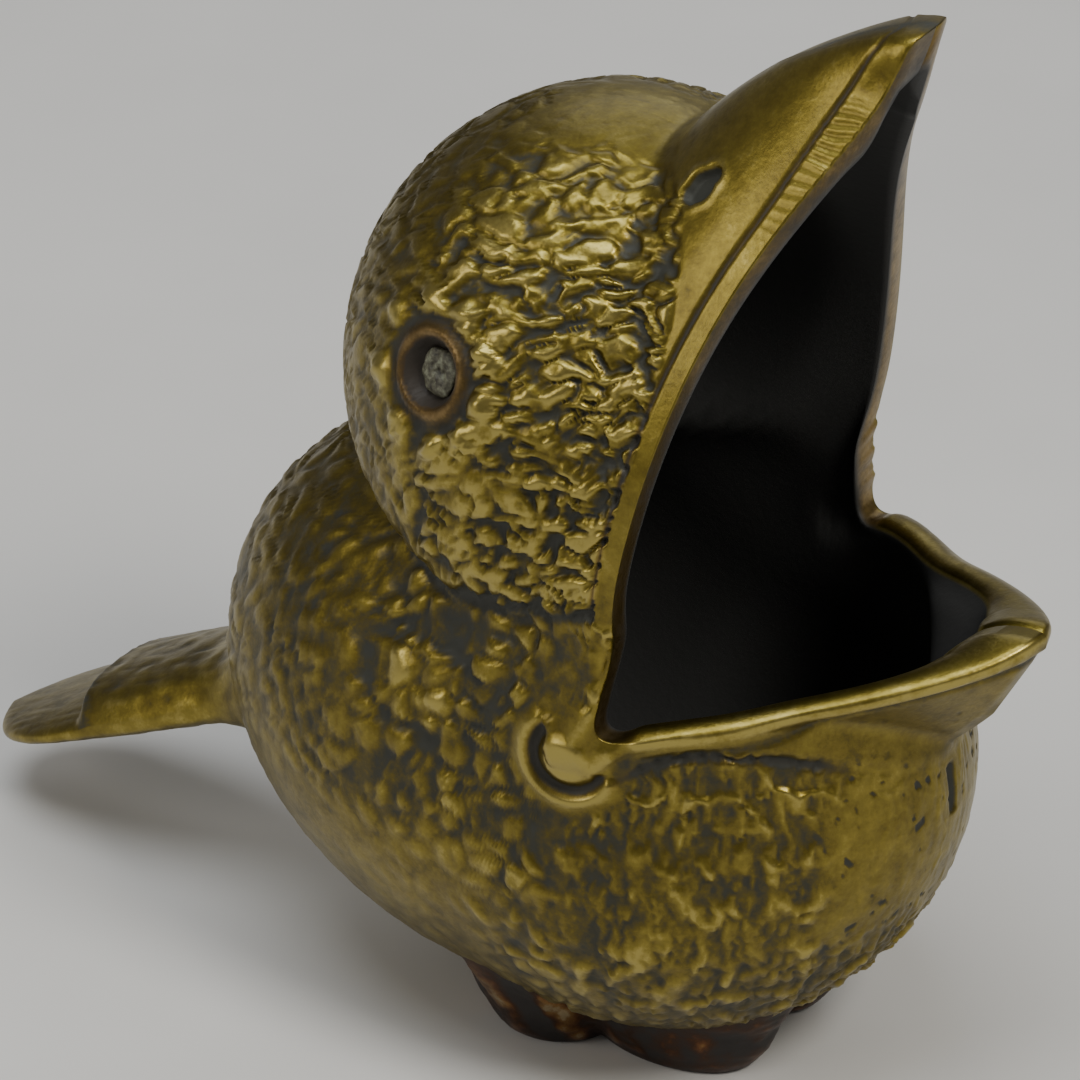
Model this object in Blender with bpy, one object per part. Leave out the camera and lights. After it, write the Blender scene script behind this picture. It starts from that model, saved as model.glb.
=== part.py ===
"""A hollow cast-brass fledgling bird with a gaping bill, standing on two feet.

The skin is cast as a left and a right half, joined along the middle. The tail and the feet are
separate castings: the tail is held by a stud, a washer and a nut inside the back, and each foot
by a screw and a washer inside the belly. The eyes are plugs set in round sockets.

The bird faces +X and its right side is at -Y. Shapes are worked out in millimetres in the gape
frame, whose origin lies midway between the corners of the mouth, and become metres as each mesh
is made. The model's own origin is on the ground, in the middle of the bird's outer box.
"""

import math

import bmesh
import bpy
import numpy as np
from mathutils import Matrix, Vector
from mathutils.bvhtree import BVHTree

MM = 0.001

# Driving dimensions, in millimetres.
WALL, THINNEST_WALL, STEEPEST_WALL = 3.0, 2.4, 0.36
WALL_SMOOTHINGS = 6
EDGE_WIDTH, SPOUT_SOLID, SPOUT_SPREAD, TIP_SOLID, TIP_SPREAD = 2.9, 7.5, 9.0, 6.5, 8.0
GAP = 0.3
SOLE_DROP = 49.0
GAPE_FORWARD = 29.178

HEAD_CENTRE, HEAD_RADII, CHEEK_DROP = (-12.7, 0.0, 28.4), (30.0, 28.3, 31.0), 45.0
COLLAR_HEIGHT, COLLAR_MIDDLE, COLLAR_CURVE = 13.5, -15.0, 0.013
COLLAR_RADIUS, COLLAR_SLOPE, COLLAR_ROUNDING = 26.5, 1.0, 3.0
NECK_CENTRE, NECK_RADII = (-6.0, 0.0, 2.0), (30.0, 28.8, 27.0)
BODY_CENTRE, BODY_RADII = (-15.9, 0.0, -12.3), (44.2, 29.7, 34.4)
BREAST_CENTRE, BREAST_RADII = (-2.8, 0.0, -19.5), (25.0, 29.3, 25.0)
BREAST_BLEND, NECK_BLEND, CREASE_BLEND = 6.0, 4.0, 2.5

# Upper bill: a flat-fronted arch that narrows from the head to its tip and leans forward.
BILL_RISE, BILL_REACH = 78.4, 23.5
BILL_HALF_WIDTH = 28.2
BILL_TAPER_START, BILL_TAPER_POWER = 17.0, 1.2
BILL_TIP_HALF_WIDTH, BILL_TIP_ROUNDING, BILL_TIP_LENGTH = 3.2, 2.2, 5.5
BILL_LEAN, BILL_HOOK_POWER = 0.09, 4
BILL_DEPTH, BILL_DEPTH_BELOW_TIP, BILL_DEPTH_POWER = 11.5, 10.4, 0.5
BILL_MARGIN_LOW, BILL_MARGIN_RISE = 0.5, 9.0
BILL_MARGIN_START, BILL_MARGIN_RUN = 10.0, 60.0
BILL_BLEND, BILL_BELOW = 2.0, 1.0

# Lower bill: a spade-shaped lip that slopes up to a solid pointed spout.
LIP_SLOPE = math.radians(16.0)
LIP_LENGTH = 39.3
LIP_HALF_WIDTH, LIP_STEP_IN, LIP_STEP_LENGTH = 29.5, 6.3, 9.0
LIP_TAPER_START, LIP_TAPER_POWER, LIP_TAPER_ROUNDING = 4.0, 1.35, 0.69
LIP_BEHIND, LIP_ABOVE = 3.0, 4.0
LIP_EDGE_SLOPE, LIP_BLEND = 0.8, 1.5

# The mouth's rim, as angles in degrees about the line through the corners of the mouth.
UPPER_RIM, UPPER_RIM_DIP, UPPER_RIM_SPREAD = 81.5, 7.9, 15.0
LOWER_RIM, LOWER_RIM_RISE, LOWER_RIM_SPREAD = 16.3, 1.8, 8.0
LOWER_CORNER_RISE, LOWER_CORNER_START, LOWER_CORNER_LENGTH = 8.0, 50.0, 40.0
CORNER_ANGLE, RIM_SQUARENESS = 84.0, 6.0
CROWN_ANGLE, BELLY_ANGLE = 118.0, 300.0
STEPS_ALONG_RIM, STEPS_TO_MIDDLE = 48, 14

# Tail: a flat drooping blade with a saddle of rump feathers stepping down onto it.
TAIL_ROOT, TAIL_DROOP = (-54.2, -22.6), math.radians(25.0)
TAIL_LENGTH, TAIL_END_LENGTH = 45.3, 15.0
TAIL_ROOT_HALF_WIDTH, TAIL_HALF_WIDTH = 8.8, 10.2
TAIL_HALF_THICKNESS, TAIL_TIP_HALF_THICKNESS = 2.9, 1.3
TAIL_FLARE, TAIL_FLARE_LENGTH = 3.0, 10.0
TAIL_WIDENING, TAIL_END_POWER, TAIL_SQUARENESS = 22.0, 2.2, 0.8
SADDLE_LENGTH, SADDLE_STEP_LENGTH, SADDLE_HEIGHT = 27.0, 2.0, 2.6
TAIL_SECTIONS, TAIL_POINTS = 26, 24
STUD_RADIUS, STUD_IN_TAIL, STUD_IN_BODY = 1.5, 12.0, 8.5
DEPTH_IN_BODY = 10.0
WASHER_THICKNESS, WASHER_RADIUS = 0.8, 3.6
NUT_THICKNESS, NUT_RADIUS = 2.4, 3.2

# Feet: low pedestals with a hind and a front lobe, spreading upwards to the belly.
HIND_LOBE, HIND_LOBE_RADII = (-15.0, 8.9), (6.6, 6.4)
FRONT_LOBE, FRONT_LOBE_RADII = (-1.5, 6.8), (9.5, 5.4)
FOOT_CENTRE, FOOT_AIM = (-9.0, 8.0), -40.0
FOOT_TOP, FOOT_SPREAD = -33.0, 0.55
FOOT_RINGS, FOOT_POINTS = 6, 40
SCREW_RADIUS, SCREW_HEAD_RADIUS, SCREW_HEAD_HEIGHT = 1.5, 2.7, 1.8
SCREW_IN_FOOT = 2.6
SLOT_WIDTH, SLOT_DEPTH = 0.8, 0.9
FOOT_WASHER_RADIUS, FOOT_WASHER_THICKNESS = 3.6, 0.6

# Eyes: plugs in round sockets on the sides of the head.
EYE_DIRECTION = (-21.0, 25.8, 37.9)
EYE_RADIUS, SOCKET_RADIUS, SOCKET_DEPTH, SOCKET_CUT = 3.0, 3.3, 1.9, 5.8
EYE_EDGE, EYE_DOME, EYE_DOME_TURN, EYE_RINGS = 0.5, 0.8, 1.35, 6

ROUND_SIDES, FACET_TURN, SEAT_DETAIL = 24, 0.4, 5
NUDGE, CUT_MARGIN = 0.05, 0.1


def smooth_step(value):
    """0 to 1 with flat ends."""
    value = np.clip(value, 0.0, 1.0)
    return value * value * (3.0 - 2.0 * value)


def ellipsoid(points, centre, radii):
    """About the distance outside an ellipsoid, negative inside."""
    offset = points - np.array(centre)
    scaled = np.linalg.norm(offset / np.array(radii), axis=-1)
    slope = np.linalg.norm(offset / np.array(radii) ** 2, axis=-1) + 1e-9
    return scaled * (scaled - 1.0) / slope


def join(first, second, blend):
    """The union of two shapes, with a fillet of the given size where they meet."""
    share = np.clip(0.5 + 0.5 * (second - first) / blend, 0.0, 1.0)
    return second * (1.0 - share) + first * share - blend * share * (1.0 - share)


def upper_bill(points):
    """Arch-shaped bill: its level sections are half ellipses with their flat side forward."""
    x, y, z = points[..., 0], points[..., 1], points[..., 2]
    rise = np.clip(z / BILL_RISE, 0.0, None)
    front = BILL_LEAN * z + (BILL_REACH - BILL_LEAN * BILL_RISE) * rise**BILL_HOOK_POWER
    taper = np.clip((z - BILL_TAPER_START) / (BILL_RISE - BILL_TAPER_START), 0.0, 0.9999)
    below = np.clip(BILL_RISE - z, 0.0, None)
    blunt = np.sqrt(1.0 - np.clip(1.0 - below / BILL_TIP_ROUNDING, 0.0, 1.0) ** 2)
    blunt = BILL_TIP_HALF_WIDTH * blunt * np.exp(-((below / BILL_TIP_LENGTH) ** 2))
    width = BILL_HALF_WIDTH * (1.0 - taper**2) ** BILL_TAPER_POWER + blunt
    depth = BILL_DEPTH * (below / BILL_DEPTH_BELOW_TIP) ** BILL_DEPTH_POWER + 0.01
    back = np.clip((front - x) / depth, 0.0, None)
    scaled = np.hypot(back, y / width)
    side = scaled * (scaled - 1.0) / (np.hypot(back / depth, y / width**2) + 1e-9)
    share = np.clip((z - BILL_MARGIN_START) / BILL_MARGIN_RUN, 0.0, 1.0)
    margin = BILL_MARGIN_LOW + BILL_MARGIN_RISE * share
    return np.maximum.reduce([side, z - BILL_RISE, -z - BILL_BELOW, x - front - margin])


def lower_bill(points):
    """Spade-shaped scoop below the lower rim, narrowing downwards."""
    x, y, z = points[..., 0], points[..., 1], points[..., 2]
    along = x * math.cos(LIP_SLOPE) + z * math.sin(LIP_SLOPE)
    below = x * math.sin(LIP_SLOPE) - z * math.cos(LIP_SLOPE)
    start = LIP_HALF_WIDTH - LIP_STEP_IN * smooth_step(along / LIP_STEP_LENGTH)
    run = np.clip(along - LIP_TAPER_START, 0.0, None) / (LIP_LENGTH - LIP_TAPER_START)
    width = start * np.clip(1.0 - run**LIP_TAPER_POWER, 0.0, 1.0) ** LIP_TAPER_ROUNDING
    outline = np.maximum(LIP_EDGE_SLOPE * (np.abs(y) - width), along - LIP_LENGTH)
    scoop = outline + np.clip(below, 0.0, None)
    return np.maximum.reduce([scoop, -along - LIP_BEHIND, -below - LIP_ABOVE])


def head_ball(points):
    """A ball with full cheeks, which ends below at a sloping collar round the neck."""
    x, y, z = points[..., 0], points[..., 1], points[..., 2]
    ball = ellipsoid(points, HEAD_CENTRE, HEAD_RADII)
    cheeks = ellipsoid(points, HEAD_CENTRE, (*HEAD_RADII[:2], CHEEK_DROP))
    ball = np.where(z > HEAD_CENTRE[2], ball, cheeks)
    outward = np.hypot(x - HEAD_CENTRE[0], y) - COLLAR_RADIUS
    collar = COLLAR_HEIGHT + COLLAR_CURVE * (x - COLLAR_MIDDLE) ** 2 + COLLAR_SLOPE * outward
    under = (z - collar) / math.hypot(1.0, COLLAR_SLOPE)
    return -join(-ball, under, COLLAR_ROUNDING)


def skin(points):
    """About the distance outside the bird's skin, negative inside."""
    head = join(head_ball(points), upper_bill(points), BILL_BLEND)
    body = join(
        ellipsoid(points, BODY_CENTRE, BODY_RADII),
        ellipsoid(points, BREAST_CENTRE, BREAST_RADII),
        BREAST_BLEND,
    )
    body = join(body, ellipsoid(points, NECK_CENTRE, NECK_RADII), NECK_BLEND)
    return join(head, join(body, lower_bill(points), LIP_BLEND), CREASE_BLEND)


def reach(directions, level=0.0, furthest=84.0, steps=330, halvings=16):
    """How far from the gape the skin's outermost surface at a level lies in each direction."""
    radii = np.linspace(2.0, furthest, steps)
    inside = np.stack([skin(directions * radius) < level for radius in radii])
    last = steps - 1 - np.argmax(inside[::-1], axis=0)
    near, far = radii[last], radii[np.minimum(last + 1, steps - 1)]
    for _ in range(halvings):
        middle = (near + far) / 2.0
        within = skin(directions * middle[..., None]) < level
        near, far = np.where(within, middle, near), np.where(within, far, middle)
    return near[..., None]


def surface_point(towards):
    """The point of the skin, and its outward normal, in one direction from the gape."""
    unit = np.array(towards, float) / np.linalg.norm(towards)
    point = unit * reach(unit)
    nudges = np.eye(3) * NUDGE
    slope = np.array([skin(point + nudge) - skin(point - nudge) for nudge in nudges])
    return Vector(point), Vector(slope).normalized()


def soften(grid, passes):
    """A grid of values evened out with their neighbours; those on the rim stay."""
    grid = grid.copy()
    for _ in range(passes):
        padded = np.pad(grid, 1, mode="edge")
        across = padded[1:-1, :-2] + padded[1:-1, 2:]
        grid[:, 1:] = ((padded[:-2, 1:-1] + padded[2:, 1:-1] + across) / 4.0)[:, 1:]
    return grid


def wall_depths(net, points):
    """How thick the wall is along each ray from the gape, smoothed over the skin."""
    nudges = np.eye(3) * NUDGE
    slope = np.stack([skin(points + nudge) - skin(points - nudge) for nudge in nudges], -1)
    slope /= np.linalg.norm(slope, axis=-1, keepdims=True)
    depth = WALL / np.clip((slope * net).sum(-1), STEEPEST_WALL, 1.0)
    tangent = np.gradient(points[:, 0], axis=0)
    tangent /= np.linalg.norm(tangent, axis=-1, keepdims=True)
    along = (tangent * net[:, 0]).sum(-1)
    edge = EDGE_WIDTH / np.sqrt(np.clip(1.0 - along**2, 0.25, 1.0))
    solid_ends = ((points[-1, 0], SPOUT_SOLID, SPOUT_SPREAD), (points[0, 0], TIP_SOLID, TIP_SPREAD))
    for end, solid, spread in solid_ends:
        from_end = np.linalg.norm(points[:, 0] - end, axis=-1)
        edge += (solid - WALL) * np.exp(-((from_end / spread) ** 2))
    depth[:, 0] = edge
    return soften(depth, WALL_SMOOTHINGS)


def crossing(start, axis, furthest=20.0, halvings=30):
    """Where a line from inside the bird crosses the skin."""
    near, far = 0.0, furthest
    for _ in range(halvings):
        middle = (near + far) / 2.0
        if skin(np.array(start + axis * middle)) < 0.0:
            near = middle
        else:
            far = middle
    return start + axis * near


def direction(turn, spread):
    """Unit directions from a turn about the gape line and a spread towards its +Y end."""
    turn, spread = np.radians(turn), np.radians(spread)
    level = np.cos(spread)
    return np.stack([level * np.cos(turn), np.sin(spread), level * np.sin(turn)], -1)


def rim_directions(share):
    """Along the mouth's rim, from the tip of the upper bill, round the corner, to the spout."""
    cosine, sine = np.cos(np.pi * share), np.sin(np.pi * share)
    power = 2.0 / RIM_SQUARENESS
    spread = CORNER_ANGLE * np.abs(sine) ** power
    side = np.sign(cosine) * np.abs(cosine) ** power
    upper = UPPER_RIM - UPPER_RIM_DIP / (1.0 + (spread / UPPER_RIM_SPREAD) ** 2)
    lower = LOWER_RIM + LOWER_RIM_RISE / (1.0 + (spread / LOWER_RIM_SPREAD) ** 2)
    corner = smooth_step((spread - LOWER_CORNER_START) / LOWER_CORNER_LENGTH)
    lower = lower + LOWER_CORNER_RISE * corner
    return direction((upper + lower) / 2.0 + side * (upper - lower) / 2.0, spread)


def evenly(curve, count, fine=3000):
    """Directions at even distances over the skin along a curve of directions."""
    fine_directions = curve(np.linspace(0.0, 1.0, fine))
    points = fine_directions * reach(fine_directions)
    lengths = np.linalg.norm(np.diff(points, axis=0), axis=1)
    travelled = np.concatenate([[0.0], np.cumsum(lengths)])
    places = np.interp(np.linspace(0.0, travelled[-1], count + 1), travelled, np.linspace(0.0, 1.0, fine))
    return curve(places)


def half_directions():
    """A four-sided net of directions over the +Y half, from the rim to the middle of the bird."""
    tip = UPPER_RIM - UPPER_RIM_DIP
    spout = 360.0 + LOWER_RIM + LOWER_RIM_RISE

    def middle(start, end, count):
        return evenly(lambda share: direction(start + (end - start) * share, 0.0 * share), count)

    rim = evenly(rim_directions, STEPS_ALONG_RIM)
    back = middle(CROWN_ANGLE, BELLY_ANGLE, STEPS_ALONG_RIM)
    top = middle(tip, CROWN_ANGLE, STEPS_TO_MIDDLE)
    front = middle(spout, BELLY_ANGLE, STEPS_TO_MIDDLE)
    t = np.linspace(0.0, 1.0, STEPS_ALONG_RIM + 1)[:, None, None]
    q = np.linspace(0.0, 1.0, STEPS_TO_MIDDLE + 1)[None, :, None]
    sides = (1 - q) * rim[:, None] + q * back[:, None] + (1 - t) * top[None] + t * front[None]
    corners = (1 - t) * ((1 - q) * rim[0] + q * back[0]) + t * ((1 - q) * rim[-1] + q * back[-1])
    net = sides - corners
    return net / np.linalg.norm(net, axis=-1, keepdims=True)


def to_world(point):
    """A point in the gape frame, in the model's metres."""
    return (Vector(point) + Vector((GAPE_FORWARD, 0.0, SOLE_DROP))) * MM


def seat_inside(shell, start, axis, radius):
    """Where a washer that slides from the hollow along an axis comes close to a shell's wall."""
    corners = [vertex.co for vertex in shell.data.vertices]
    wall = BVHTree.FromPolygons(corners, [face.vertices for face in shell.data.polygons])
    turn = Vector((0.0, 0.0, 1.0)).rotation_difference(axis).to_matrix()
    distances = []
    for i in range(ROUND_SIDES):
        angle = 2.0 * math.pi * i / ROUND_SIDES
        edge = turn @ Vector((radius * math.cos(angle), radius * math.sin(angle), 0.0))
        distance = wall.ray_cast(to_world(start + edge), axis)[3]
        if distance is not None:
            distances.append(distance / MM)
    return start + axis * (min(distances) - GAP)


def new_object(name, bm, material=None, sharp_angle=35.0):
    """One named object from a bmesh, shaded smooth except at its sharp edges."""
    mesh = bpy.data.meshes.new(name)
    bm.to_mesh(mesh)
    bm.free()
    if material is not None:
        mesh.materials.append(material)
    mesh.shade_smooth()
    mesh.set_sharp_from_angle(angle=math.radians(sharp_angle))
    made = bpy.data.objects.new(name, mesh)
    bpy.context.collection.objects.link(made)
    return made


def new_material(name, colour, roughness, metallic):
    """A plain Principled material."""
    material = bpy.data.materials.new(name)
    material.use_nodes = True
    shader = material.node_tree.nodes["Principled BSDF"]
    shader.inputs["Base Color"].default_value = (*colour, 1.0)
    shader.inputs["Roughness"].default_value = roughness
    shader.inputs["Metallic"].default_value = metallic
    return material


def grid_faces(bm, rows, closed=False):
    """Quads between neighbouring rows of vertices, joined end to end when closed."""
    for row, following in zip(rows, rows[1:]):
        count = len(row) if closed else len(row) - 1
        for i in range(count):
            j = (i + 1) % len(row)
            bm.faces.new((row[i], following[i], following[j], row[j]))


def face_outwards(bm):
    """Consistent outward faces on a closed mesh."""
    bmesh.ops.recalc_face_normals(bm, faces=bm.faces)
    if bm.calc_volume(signed=True) < 0.0:
        bmesh.ops.reverse_faces(bm, faces=bm.faces)


def make_half_shell(name, side, net, material):
    """One half of the hollow skin, from the rim of the mouth to the middle of the bird."""
    bm = bmesh.new()
    flip = np.array([1.0, side, 1.0])
    off_middle = np.array([0.0, side * GAP / 2.0, 0.0])
    outside = reach(net)[..., 0]
    depths = wall_depths(net, net * outside[..., None])
    inside = np.minimum(soften(outside - depths, WALL_SMOOTHINGS), outside - THINNEST_WALL)
    layers = []
    for surface in (outside, inside):
        points = net * surface[..., None] * flip + off_middle
        layers.append([[bm.verts.new(to_world(point)) for point in row] for row in points])
    outer, inner = layers
    grid_faces(bm, outer)
    grid_faces(bm, inner)
    border = [(t, 0) for t in range(STEPS_ALONG_RIM)]
    border += [(STEPS_ALONG_RIM, q) for q in range(STEPS_TO_MIDDLE)]
    border += [(t, STEPS_TO_MIDDLE) for t in range(STEPS_ALONG_RIM, 0, -1)]
    border += [(0, q) for q in range(STEPS_TO_MIDDLE, 0, -1)]
    loops = [[layer[t][q] for t, q in border] for layer in layers]
    grid_faces(bm, loops, closed=True)
    face_outwards(bm)
    return new_object(name, bm, material)


def make_seat_cutter():
    """The whole skin grown by the gap, which trims what is seated on it."""
    bm = bmesh.new()
    bmesh.ops.create_icosphere(bm, subdivisions=SEAT_DETAIL, radius=1.0)
    units = np.array([vertex.co[:] for vertex in bm.verts])
    units /= np.linalg.norm(units, axis=1, keepdims=True)
    for vertex, point in zip(bm.verts, units * reach(units, GAP)):
        vertex.co = to_world(point)
    face_outwards(bm)
    return make_cutter("seat_cutter", bm)


def make_cutter(name, bm):
    """A hidden tool for cuts, not a piece of the bird."""
    cutter = new_object(name, bm)
    cutter.hide_render = True
    cutter.display_type = "WIRE"
    return cutter


def add_rod(bm, start, axis, length, radius, sides=ROUND_SIDES):
    """A closed round or many-sided rod from a start point along an axis."""
    turn = Vector((0.0, 0.0, 1.0)).rotation_difference(Vector(axis)).to_matrix().to_4x4()
    turn = turn @ Matrix.Rotation(FACET_TURN * 2.0 * math.pi / sides, 4, "Z")
    centre = to_world(Vector(start) + Vector(axis).normalized() * length / 2.0)
    bmesh.ops.create_cone(
        bm,
        cap_ends=True,
        segments=sides,
        radius1=radius * MM,
        radius2=radius * MM,
        depth=length * MM,
        matrix=Matrix.Translation(centre) @ turn,
    )


def make_rod(name, start, axis, length, radius, material=None, sides=ROUND_SIDES):
    """A rod as an object, or as a hidden cutter when it has no material."""
    bm = bmesh.new()
    add_rod(bm, start, axis, length, radius, sides)
    return new_object(name, bm, material) if material else make_cutter(name, bm)


def make_ring(name, start, axis, sizes, material, sides=ROUND_SIDES):
    """A washer or nut from its thickness, its radius and the radius of its hole."""
    thickness, radius, hole = sizes
    bm = bmesh.new()
    base = to_world(start)
    turn = Vector((0.0, 0.0, 1.0)).rotation_difference(Vector(axis)).to_matrix()
    loops = []
    for edge, height in ((radius, 0.0), (radius, thickness), (hole, thickness), (hole, 0.0)):
        loop = []
        for i in range(ROUND_SIDES):
            angle = 2.0 * math.pi * i / ROUND_SIDES
            width = edge
            if edge == radius and sides < ROUND_SIDES:
                wedge = 2.0 * math.pi / sides
                width = edge * math.cos(wedge / 2.0) / math.cos(angle % wedge - wedge / 2.0)
            spot = Vector((width * math.cos(angle), width * math.sin(angle), height))
            loop.append(bm.verts.new(base + turn @ spot * MM))
        loops.append(loop)
    grid_faces(bm, loops + loops[:1], closed=True)
    face_outwards(bm)
    return new_object(name, bm, material)


def cut(target, cutter):
    """Take one shape out of another."""
    modifier = target.modifiers.new(cutter.name, "BOOLEAN")
    modifier.operation = "DIFFERENCE"
    modifier.solver = "EXACT"
    modifier.object = cutter


def tail_axis():
    """The tail's root on the middle plane, and its backward, drooping direction."""
    root = Vector((TAIL_ROOT[0], 0.0, TAIL_ROOT[1]))
    return root, Vector((-math.cos(TAIL_DROOP), 0.0, -math.sin(TAIL_DROOP)))


def make_tail(material):
    """The tail casting, lofted from its root to its rounded end."""
    root, backward = tail_axis()
    upward = Vector((-backward.z, 0.0, backward.x)) * -1.0
    bm = bmesh.new()
    rows = []
    for section in range(TAIL_SECTIONS + 1):
        along = TAIL_LENGTH * math.sin(0.5 * math.pi * section / (TAIL_SECTIONS + 1))
        width = TAIL_ROOT_HALF_WIDTH
        width += (TAIL_HALF_WIDTH - TAIL_ROOT_HALF_WIDTH) * float(smooth_step(along / TAIL_WIDENING))
        flare = TAIL_FLARE * max(0.0, 1.0 - along / TAIL_FLARE_LENGTH) ** 2
        into_end = max(0.0, along - TAIL_LENGTH + TAIL_END_LENGTH) / TAIL_END_LENGTH
        width = width * math.sqrt(max(0.0, 1.0 - into_end**TAIL_END_POWER)) + flare
        thin = TAIL_HALF_THICKNESS
        thin += (TAIL_TIP_HALF_THICKNESS - TAIL_HALF_THICKNESS) * along / TAIL_LENGTH
        past_saddle = float(smooth_step((along - SADDLE_LENGTH) / SADDLE_STEP_LENGTH))
        saddle = SADDLE_HEIGHT * (1.0 - past_saddle)
        row = []
        for i in range(TAIL_POINTS):
            angle = 2.0 * math.pi * i / TAIL_POINTS
            across = math.copysign(abs(math.cos(angle)) ** TAIL_SQUARENESS, math.cos(angle)) * width
            height = math.copysign(abs(math.sin(angle)) ** TAIL_SQUARENESS, math.sin(angle))
            height *= thin + flare + (saddle if height > 0.0 else 0.0)
            spot = root + backward * along + upward * height
            row.append(bm.verts.new(to_world(spot + Vector((0.0, across, 0.0)))))
        rows.append(row)
    grid_faces(bm, rows, closed=True)
    bm.faces.new(rows[0])
    bm.faces.new(rows[-1])
    face_outwards(bm)
    return new_object("tail", bm, material)


def make_tail_fixings(steel, plain_brass, shells, tail):
    """The stud through the back, with its washer and nut inside the body."""
    root, backward = tail_axis()
    inward = -backward
    start = root + inward * DEPTH_IN_BODY
    outside = crossing(start, backward)
    seat = seat_inside(shells[0], start, backward, WASHER_RADIUS)
    full_length = STUD_IN_TAIL + WALL + STUD_IN_BODY
    stud_start = outside + backward * STUD_IN_TAIL
    make_rod("tail_stud", stud_start, inward, full_length, STUD_RADIUS, steel)
    hole = STUD_RADIUS + GAP
    hole_start = stud_start + backward * GAP
    cutter = make_rod("stud_hole", hole_start, inward, full_length, hole)
    for target in (*shells, tail):
        cut(target, cutter)
    make_ring("tail_washer", seat, inward, (WASHER_THICKNESS, WASHER_RADIUS, hole), plain_brass)
    nut_seat = seat + inward * (WASHER_THICKNESS + GAP)
    make_ring("tail_nut", nut_seat, inward, (NUT_THICKNESS, NUT_RADIUS, hole), steel, sides=6)


def lobe_reach(angle, centre, radii):
    """How far an ellipse's far edge lies from the foot's centre at an angle."""
    dx, dy = math.cos(angle) / radii[0], math.sin(angle) / radii[1]
    ox, oy = (FOOT_CENTRE[0] - centre[0]) / radii[0], (FOOT_CENTRE[1] - centre[1]) / radii[1]
    a, b, c = dx * dx + dy * dy, dx * ox + dy * oy, ox * ox + oy * oy - 1.0
    root = b * b - a * c
    return (math.sqrt(root) - b) / a if root > 0.0 else 0.0


def make_foot(name, side, material):
    """A pedestal with a hind and a front lobe, later trimmed to the belly."""
    bm = bmesh.new()
    rows = []
    for ring in range(FOOT_RINGS + 1):
        height = -SOLE_DROP + (FOOT_TOP + SOLE_DROP) * ring / FOOT_RINGS
        grow = FOOT_SPREAD * (height + SOLE_DROP)
        row = []
        for i in range(FOOT_POINTS):
            angle = 2.0 * math.pi * i / FOOT_POINTS
            hind = lobe_reach(angle, HIND_LOBE, HIND_LOBE_RADII)
            front = lobe_reach(angle, FRONT_LOBE, FRONT_LOBE_RADII)
            edge = max(hind, front) + grow
            x = FOOT_CENTRE[0] + edge * math.cos(angle)
            y = max(FOOT_CENTRE[1] + edge * math.sin(angle), 2.0 * GAP)
            row.append(bm.verts.new(to_world((x, side * y, height))))
        rows.append(row)
    grid_faces(bm, rows, closed=True)
    bm.faces.new(rows[0])
    bm.faces.new(rows[-1])
    face_outwards(bm)
    return new_object(name, bm, material)


def make_foot_fixings(name, side, metals, shell, foot):
    """The screw that holds a foot from inside the belly, and its washer."""
    steel, plain_brass = metals
    outside, normal = surface_point((*FOOT_CENTRE, FOOT_AIM))
    for vector in (outside, normal):
        vector.y *= side
    washer_seat = seat_inside(shell, outside - normal * DEPTH_IN_BODY, normal, FOOT_WASHER_RADIUS)
    head_seat = washer_seat - normal * (FOOT_WASHER_THICKNESS + GAP)
    head_top = head_seat - normal * SCREW_HEAD_HEIGHT
    shank_length = (outside - head_seat).length + SCREW_IN_FOOT
    hole = SCREW_RADIUS + GAP
    start = head_seat - normal * CUT_MARGIN
    cutter = make_rod(f"{name}_hole", start, normal, shank_length + CUT_MARGIN + GAP, hole)
    cut(shell, cutter)
    cut(foot, cutter)
    sizes = (FOOT_WASHER_THICKNESS, FOOT_WASHER_RADIUS, hole)
    make_ring(f"{name}_washer", washer_seat, -normal, sizes, plain_brass)
    screw = make_turned(
        f"{name}_screw",
        head_top,
        normal,
        ((SCREW_HEAD_RADIUS, 0.0), (SCREW_HEAD_RADIUS, SCREW_HEAD_HEIGHT),
         (SCREW_RADIUS, SCREW_HEAD_HEIGHT), (SCREW_RADIUS, SCREW_HEAD_HEIGHT + shank_length)),
        steel,
    )
    slot = bmesh.new()
    turn = Vector((0.0, 0.0, 1.0)).rotation_difference(normal).to_matrix().to_4x4()
    size = Matrix.Diagonal((3.0 * SCREW_HEAD_RADIUS, SLOT_WIDTH, 2.0 * SLOT_DEPTH, 1.0 / MM)) * MM
    bmesh.ops.create_cube(slot, size=1.0, matrix=Matrix.Translation(to_world(head_top)) @ turn @ size)
    cut(screw, make_cutter(f"{name}_slot", slot))


def make_turned(name, start, axis, profile, material):
    """A solid of revolution along an axis, from (radius, distance) pairs."""
    bm = bmesh.new()
    turn = Vector((0.0, 0.0, 1.0)).rotation_difference(Vector(axis)).to_matrix()
    base = to_world(start)
    rows = []
    for radius, distance in profile:
        row = []
        for i in range(ROUND_SIDES):
            angle = 2.0 * math.pi * i / ROUND_SIDES
            spot = Vector((radius * math.cos(angle), radius * math.sin(angle), distance))
            row.append(bm.verts.new(base + turn @ spot * MM))
        rows.append(row)
    grid_faces(bm, rows, closed=True)
    bm.faces.new(rows[0])
    bm.faces.new(rows[-1])
    face_outwards(bm)
    return new_object(name, bm, material)


def make_eye(name, side, material, shell):
    """A domed plug in a round blind socket on one side of the head."""
    outside, normal = surface_point(EYE_DIRECTION)
    for vector in (outside, normal):
        vector.y *= side
    floor = outside - normal * SOCKET_DEPTH
    socket = make_rod(f"{name}_socket", floor, normal, SOCKET_CUT, SOCKET_RADIUS)
    cut(shell, socket)
    base = floor + normal * GAP
    turns = np.linspace(0.0, EYE_DOME_TURN, EYE_RINGS)
    dome = [(EYE_RADIUS * math.cos(a), EYE_EDGE + EYE_DOME * math.sin(a)) for a in turns]
    make_turned(name, base, normal, [(EYE_RADIUS, 0.0), *dome], material)


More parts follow.
